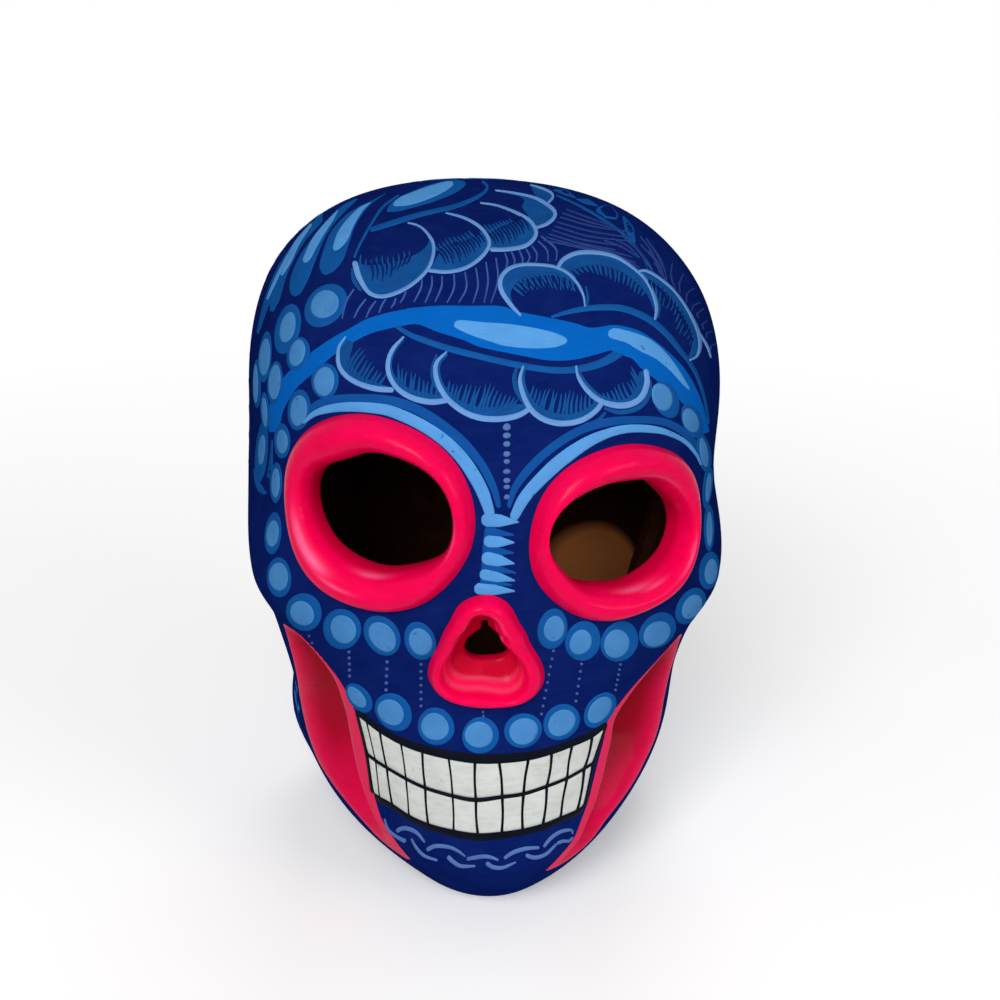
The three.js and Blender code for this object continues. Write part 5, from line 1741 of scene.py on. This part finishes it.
def back_flower(layers, azimuth, z, turn, radius, count):
    """Flower of round petals about a ringed heart, with beads between the tips of its petals."""
    place = chart(azimuth, z, turn)
    start = radius * FLOWER_HEART
    depth = radius - start
    half = math.pi / count * 1.06
    for k in range(count):
        middle = 2 * math.pi * k / count + math.pi / 2
        outline = petal_round(start, radius, half, middle, 27)
        inner = petal_round(start, radius - depth * PETAL_DEPTH[0], half * 0.9, middle, 27)
        layers["fills"].append(band(place, outline, inner, LOW_LAYER))
        roots = petal_round(start, radius - depth * PETAL_DEPTH[0] * 0.8, half * 0.8, middle, 13)[2:-2]
        tips = petal_round(start, radius - depth * PETAL_DEPTH[1], half * 0.74, middle, 13)[2:-2]
        for j, (root, tip) in enumerate(zip(roots, tips)):
            path = bowed(root, tip + (tip - root) * 0.3 * math.sin(2.4 * j + k))
            layers["fills"].append(stroke(place, path, (0.9, 0.8, 0.2), MIDDLE_LAYER, 1.2))
        layers["outlines"].append(stroke(place, outline[1:-1], (0.7, 1.1, 1.3, 1.1, 0.7), HIGH_LAYER, 0.9))
        gap = middle + math.pi / count
        bead = (radius * 1.02 * math.cos(gap), radius * 1.02 * math.sin(gap))
        layers["drops"].append(blob(place, oval(bead, (2.6, 3.4), math.degrees(gap) - 90, 14), LOW_LAYER))
    for k in range(count * 5):
        turn = 2 * math.pi * (k + 0.5) / (count * 5)
        if k % 5 in (1, 2, 3) or radius < 25:
            ray = np.array([math.cos(turn), math.sin(turn)])
            side = np.array([-ray[1], ray[0]])
            foot = radius * (1.07 + 0.02 * math.sin(3 * k))
            steps = ((0, 0), (2.4, 0.5), (5 + math.sin(5 * k), 0.2))
            path = [ray * (foot + out) + side * aside for out, aside in steps]
            layers["rays"].append(stroke(place, path, (0.4, 0.6, 0.3), LOW_LAYER, 1.6, pointed=True))
    layers["rings"].append(blob(place, oval((0, 0), (start * 1.5, start * 1.5), 0, 26, 0.02), LOW_LAYER))
    layers["drops"].append(blob(place, oval((0, 0), (start * 0.95, start * 0.95), 0, 22, 0.03), MIDDLE_LAYER))


def back_spray(layers, azimuth, z, turn, length):
    """Spray: pairs of pointed leaves with a lighter stroke in each, up a bent stem, and a leaf on top."""
    place = chart(azimuth, z, turn)
    heights = np.linspace(-0.5, 0.5, 9) * length
    bend = 1.6 * np.sin(heights / length * 5)
    stem = np.stack([bend, heights], -1)
    layers["rings"].append(stroke(place, stem, (0.6, 1, 1, 0.8, 0.5), LOW_LAYER, 1.5))

    def leaf(layer, path, widths, lift):
        layers[layer].append(stroke(place, path, widths, lift, 1.0, pointed=True))

    for k, height in enumerate(np.linspace(-0.4, 0.32, 5) * length):
        foot = np.array([np.interp(height, heights, bend), height])
        size = 9.5 - 0.8 * k
        for side in (-1, 1):
            along = np.array([side * math.sin(1.0 - 0.06 * k), math.cos(1.0 - 0.06 * k)]) * size
            across = np.array([-along[1], along[0]]) * 0.1 * side
            outer = (foot, foot + along * 0.5 + across, foot + along)
            inner = (foot + along * 0.25 + across * 0.5, foot + along * 0.55 + across, foot + along * 0.85)
            leaf("rings", outer, (0.3, 2.6, 3.4, 2.4, 0.3), LOW_LAYER)
            leaf("drops", inner, (0.3, 1.2, 1.4, 0.3), MIDDLE_LAYER)
    tip = stem[-1]
    leaf("rings", (tip - (0, 3), tip + (0.4, 1), tip + (0, 6)), (0.3, 3, 3.4, 2, 0.3), LOW_LAYER)


def charts_round(row, wave=0.0):
    """Number and chart of each place of a row round the back, which rises and falls by a wave."""
    for k, azimuth in enumerate(np.linspace(row["from"], row["to"], row["count"])):
        yield k, chart(azimuth, row["height"] + wave * math.sin(2.1 * k))


def back_rows(layers):
    """Dots, scallops with comb strokes, and a chain, each in a row right round the back."""
    for k, place in charts_round(BACK_DOTS, 0.8):
        tilt = 8 * math.sin(1.7 * k)
        ring, drop = (0, 0), (0.2, -0.2)
        layers["rings"].append(blob(place, oval(ring, BACK_DOTS["ring"], tilt, 24, 0.015), LOW_LAYER))
        layers["drops"].append(blob(place, oval(drop, BACK_DOTS["drop"], tilt, 20, 0.03), MIDDLE_LAYER))
        for y in BACK_STRING:
            layers["beads"].append(blob(place, oval((0.1 * y, y), (1.2, 1.1), 0, 9), LOW_LAYER, (0.7, 1.0)))
    width, height = BACK_SCALLOPS["size"]
    share = np.linspace(-1, 1, 23)
    drop = np.sqrt(np.maximum(1 - np.abs(share) ** 2.6, 0))
    outline = np.stack([share * width / 2, -height * drop], -1)
    inner = np.stack([share * width * 0.46, -height * 0.74 * drop], -1)
    for _, place in charts_round(BACK_SCALLOPS):
        layers["fills"].append(band(place, outline, inner, LOW_LAYER))
        for j, x in enumerate(np.linspace(-0.38, 0.38, 10) * width):
            foot = -height * 0.78 * (1 - abs(2 * x / width) ** 2.6) ** 0.5
            tip = foot + 3.2 + 0.9 * math.sin(2.3 * j)
            path = bowed((x, foot), (x + 0.2, tip))
            layers["fills"].append(stroke(place, path, (0.9, 0.8, 0.2), MIDDLE_LAYER, 1.2))
        layers["outlines"].append(stroke(place, outline, (0.7, 1.1, 1.3, 1.1, 0.7), HIGH_LAYER, 1.0))
    over = ((-4.6, -0.4), (-2.4, 1.3), (0.8, 1.3), (4.2, -1.6))
    under = ((-0.6, -1.8), (1.4, -3.6), (4.4, -4), (7.4, -3.2))
    for _, place in charts_round(BACK_CHAIN):
        layers["links"].append(stroke(place, over, (1.3, 1.3, 1.1, 0.5), LOW_LAYER, 1.0))
        layers["links"].append(stroke(place, under, (1.2, 1.2, 1, 0.4), LOW_LAYER, 1.0))


def back_ornament():
    """Layers of paint of the flowers, sprays and rows that the photograph's view doesn't show."""
    layers = {name: [] for name in ("fills", "outlines", "rings", "drops", "links", "beads", "rays")}
    for flower in BACK_FLOWERS:
        back_flower(layers, *flower)
    for spray in BACK_SPRAYS:
        back_spray(layers, *spray)
    back_rows(layers)
    return layers


def ornament():
    """All ornament, one piece for each paint and layer."""
    bodies, lights, rings, drops = ribbon(), [], [], []
    fills, outlines, gaps = flowers()
    leaves(bodies, lights)
    dots(rings, drops)
    shades, brow_lights = [], []
    brows(shades, brow_lights)
    for upper, lower in RIBBON_LENSES:
        lights.append(area(upper, lower, 44, HIGH_LAYER, 5))
    back = back_ornament()
    for name, parts, material in (
        ("petal_fills", fills + back["fills"], petal_paint),
        ("petal_outlines", outlines + back["outlines"], lilac_paint),
        ("petal_gaps", gaps, navy_paint),
        ("blue_strokes", bodies, blue_paint),
        ("brow_shades", shades, shade_paint),
        ("light_strokes", lights + brow_lights, light_paint),
        ("dot_rings", rings + back["rings"], blue_paint),
        ("dot_drops", drops + back["drops"], dot_paint),
        ("bead_rows", beads() + back["beads"], violet_paint),
        ("hairlines", hairlines(HAIRLINES, (1.6, 2.1, 1.2)) + back["rays"], hairline_paint),
        ("faint_hairlines", hairlines(FAINT_LINES, (1.4, 1.9, 1.1)), faint_paint),
        ("chains_and_beads", chain_and_forehead_beads() + back["links"], chain_paint),
    ):
        make_piece(name, gather(parts), [material])


# Stage


def build_camera():
    """Camera of the photograph: its focal length and shift follow from pixels of the picture."""
    position, right, up, forward = camera_axes()
    data = bpy.data.cameras.new("camera")
    data.sensor_width = SENSOR
    data.lens = VIEW["focal_pixels"] / PICTURE_PIXELS * SENSOR
    data.shift_x = 0.5 - VIEW["axis_pixel"][0] / PICTURE_PIXELS
    data.shift_y = VIEW["axis_pixel"][1] / PICTURE_PIXELS - 0.5
    data.clip_start = 0.01
    camera = bpy.data.objects.new("camera", data)
    place_object(camera, right, up, -forward, (position + SEAM) * MM)
    bpy.context.scene.camera = camera


# Lamps: place, size in metres and power in watts
LAMPS = {
    "key": ((-0.35, -1.0, 0.75), 0.55, 11.0),
    "fill": ((0.75, -0.8, 0.45), 0.5, 3.0),
    "back": ((0.2, 0.9, 0.8), 0.6, 3.5),
}
LIT_PLACE = (0, 0, 0.09)  # where they are aimed
WORLD_LEVEL = 0.22  # brightness of the world for all rays but those that show the background
FLOOR_HALF = 6.0


def shown_rays(tree):
    """One for rays that show the background: from the camera, off gloss and through glass."""
    path = tree.nodes.new("ShaderNodeLightPath")
    total = reckon(tree, "ADD", path.outputs["Is Camera Ray"], path.outputs["Is Glossy Ray"])
    return reckon(tree, "MINIMUM", reckon(tree, "ADD", total, path.outputs["Is Transmission Ray"]), 1.0)


def build_lights():
    """Area lamps that shine at the skull from their places, and a white world that lights it evenly."""
    for name, (position, size, power) in LAMPS.items():
        data = bpy.data.lights.new(name, "AREA")
        data.size = size
        data.energy = power
        back = np.array(position) - LIT_PLACE
        back /= np.linalg.norm(back)
        right = np.cross((0, 0, 1), back)
        right /= np.linalg.norm(right)
        place_object(bpy.data.objects.new(name, data), right, np.cross(back, right), back, position)
    world = bpy.data.worlds.new("studio")
    bpy.context.scene.world = world
    world.use_nodes = True
    tree = world.node_tree
    strength = remap(tree, shown_rays(tree), 0, 1, WORLD_LEVEL, 1.0)
    feed_all(tree, tree.nodes["Background"].inputs, Color=(1, 1, 1, 1), Strength=strength)


def build_floor():
    """Pale floor that keeps the skull's shadow and turns to plain white a little way from it."""
    material, tree, shader = new_material("pale_floor", 0.9, 0.0)
    place = object_place(tree)
    grain = noise(tree, place, 8, 3)
    colour = mix_colours(tree, grain, (0.9, 0.9, 0.9, 1), (0.93, 0.93, 0.93, 1))
    far = remap(tree, vector_length(tree, place), 0.14, 0.5)
    colour = mix_colours(tree, far, colour, (0, 0, 0, 1))
    glow = reckon(tree, "MULTIPLY", remap(tree, far, 0, 1, 0.27, 1.0), shown_rays(tree))
    feed_all(tree, shader.inputs, Base_Color=colour, Emission_Color=(1, 1, 1, 1), Emission_Strength=glow)
    mesh = bpy.data.meshes.new("floor")
    corners = [(x * FLOOR_HALF, y * FLOOR_HALF, 0) for x, y in ((-1, -1), (1, -1), (1, 1), (-1, 1))]
    mesh.from_pydata(corners, [], [(0, 1, 2, 3)])
    mesh.materials.append(material)
    floor = bpy.data.objects.new("floor", mesh)
    bpy.context.scene.collection.objects.link(floor)
    floor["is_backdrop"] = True


def dress_clay_nodes():
    """Clay on the two nodes that keep their own mesh."""
    for node, clay in (("base_slab", bare_clay), ("seam_coil", inner_clay_painted_shade)):
        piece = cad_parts[node]
        piece.data.materials.clear()
        piece.data.materials.append(clay)


def write_sizes():
    """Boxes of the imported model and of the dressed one."""
    boxes = {"cad": cad_bounds, "visual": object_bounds()}
    plain = {name: [[float(x) for x in corner] for corner in box] for name, box in boxes.items()}


build_camera()
face_and_cranium(rolls())
cheeks()
mouth()
ornament()
dress_clay_nodes()
build_lights()
build_floor()
bpy.context.scene.view_settings.view_transform = "Standard"
write_sizes()
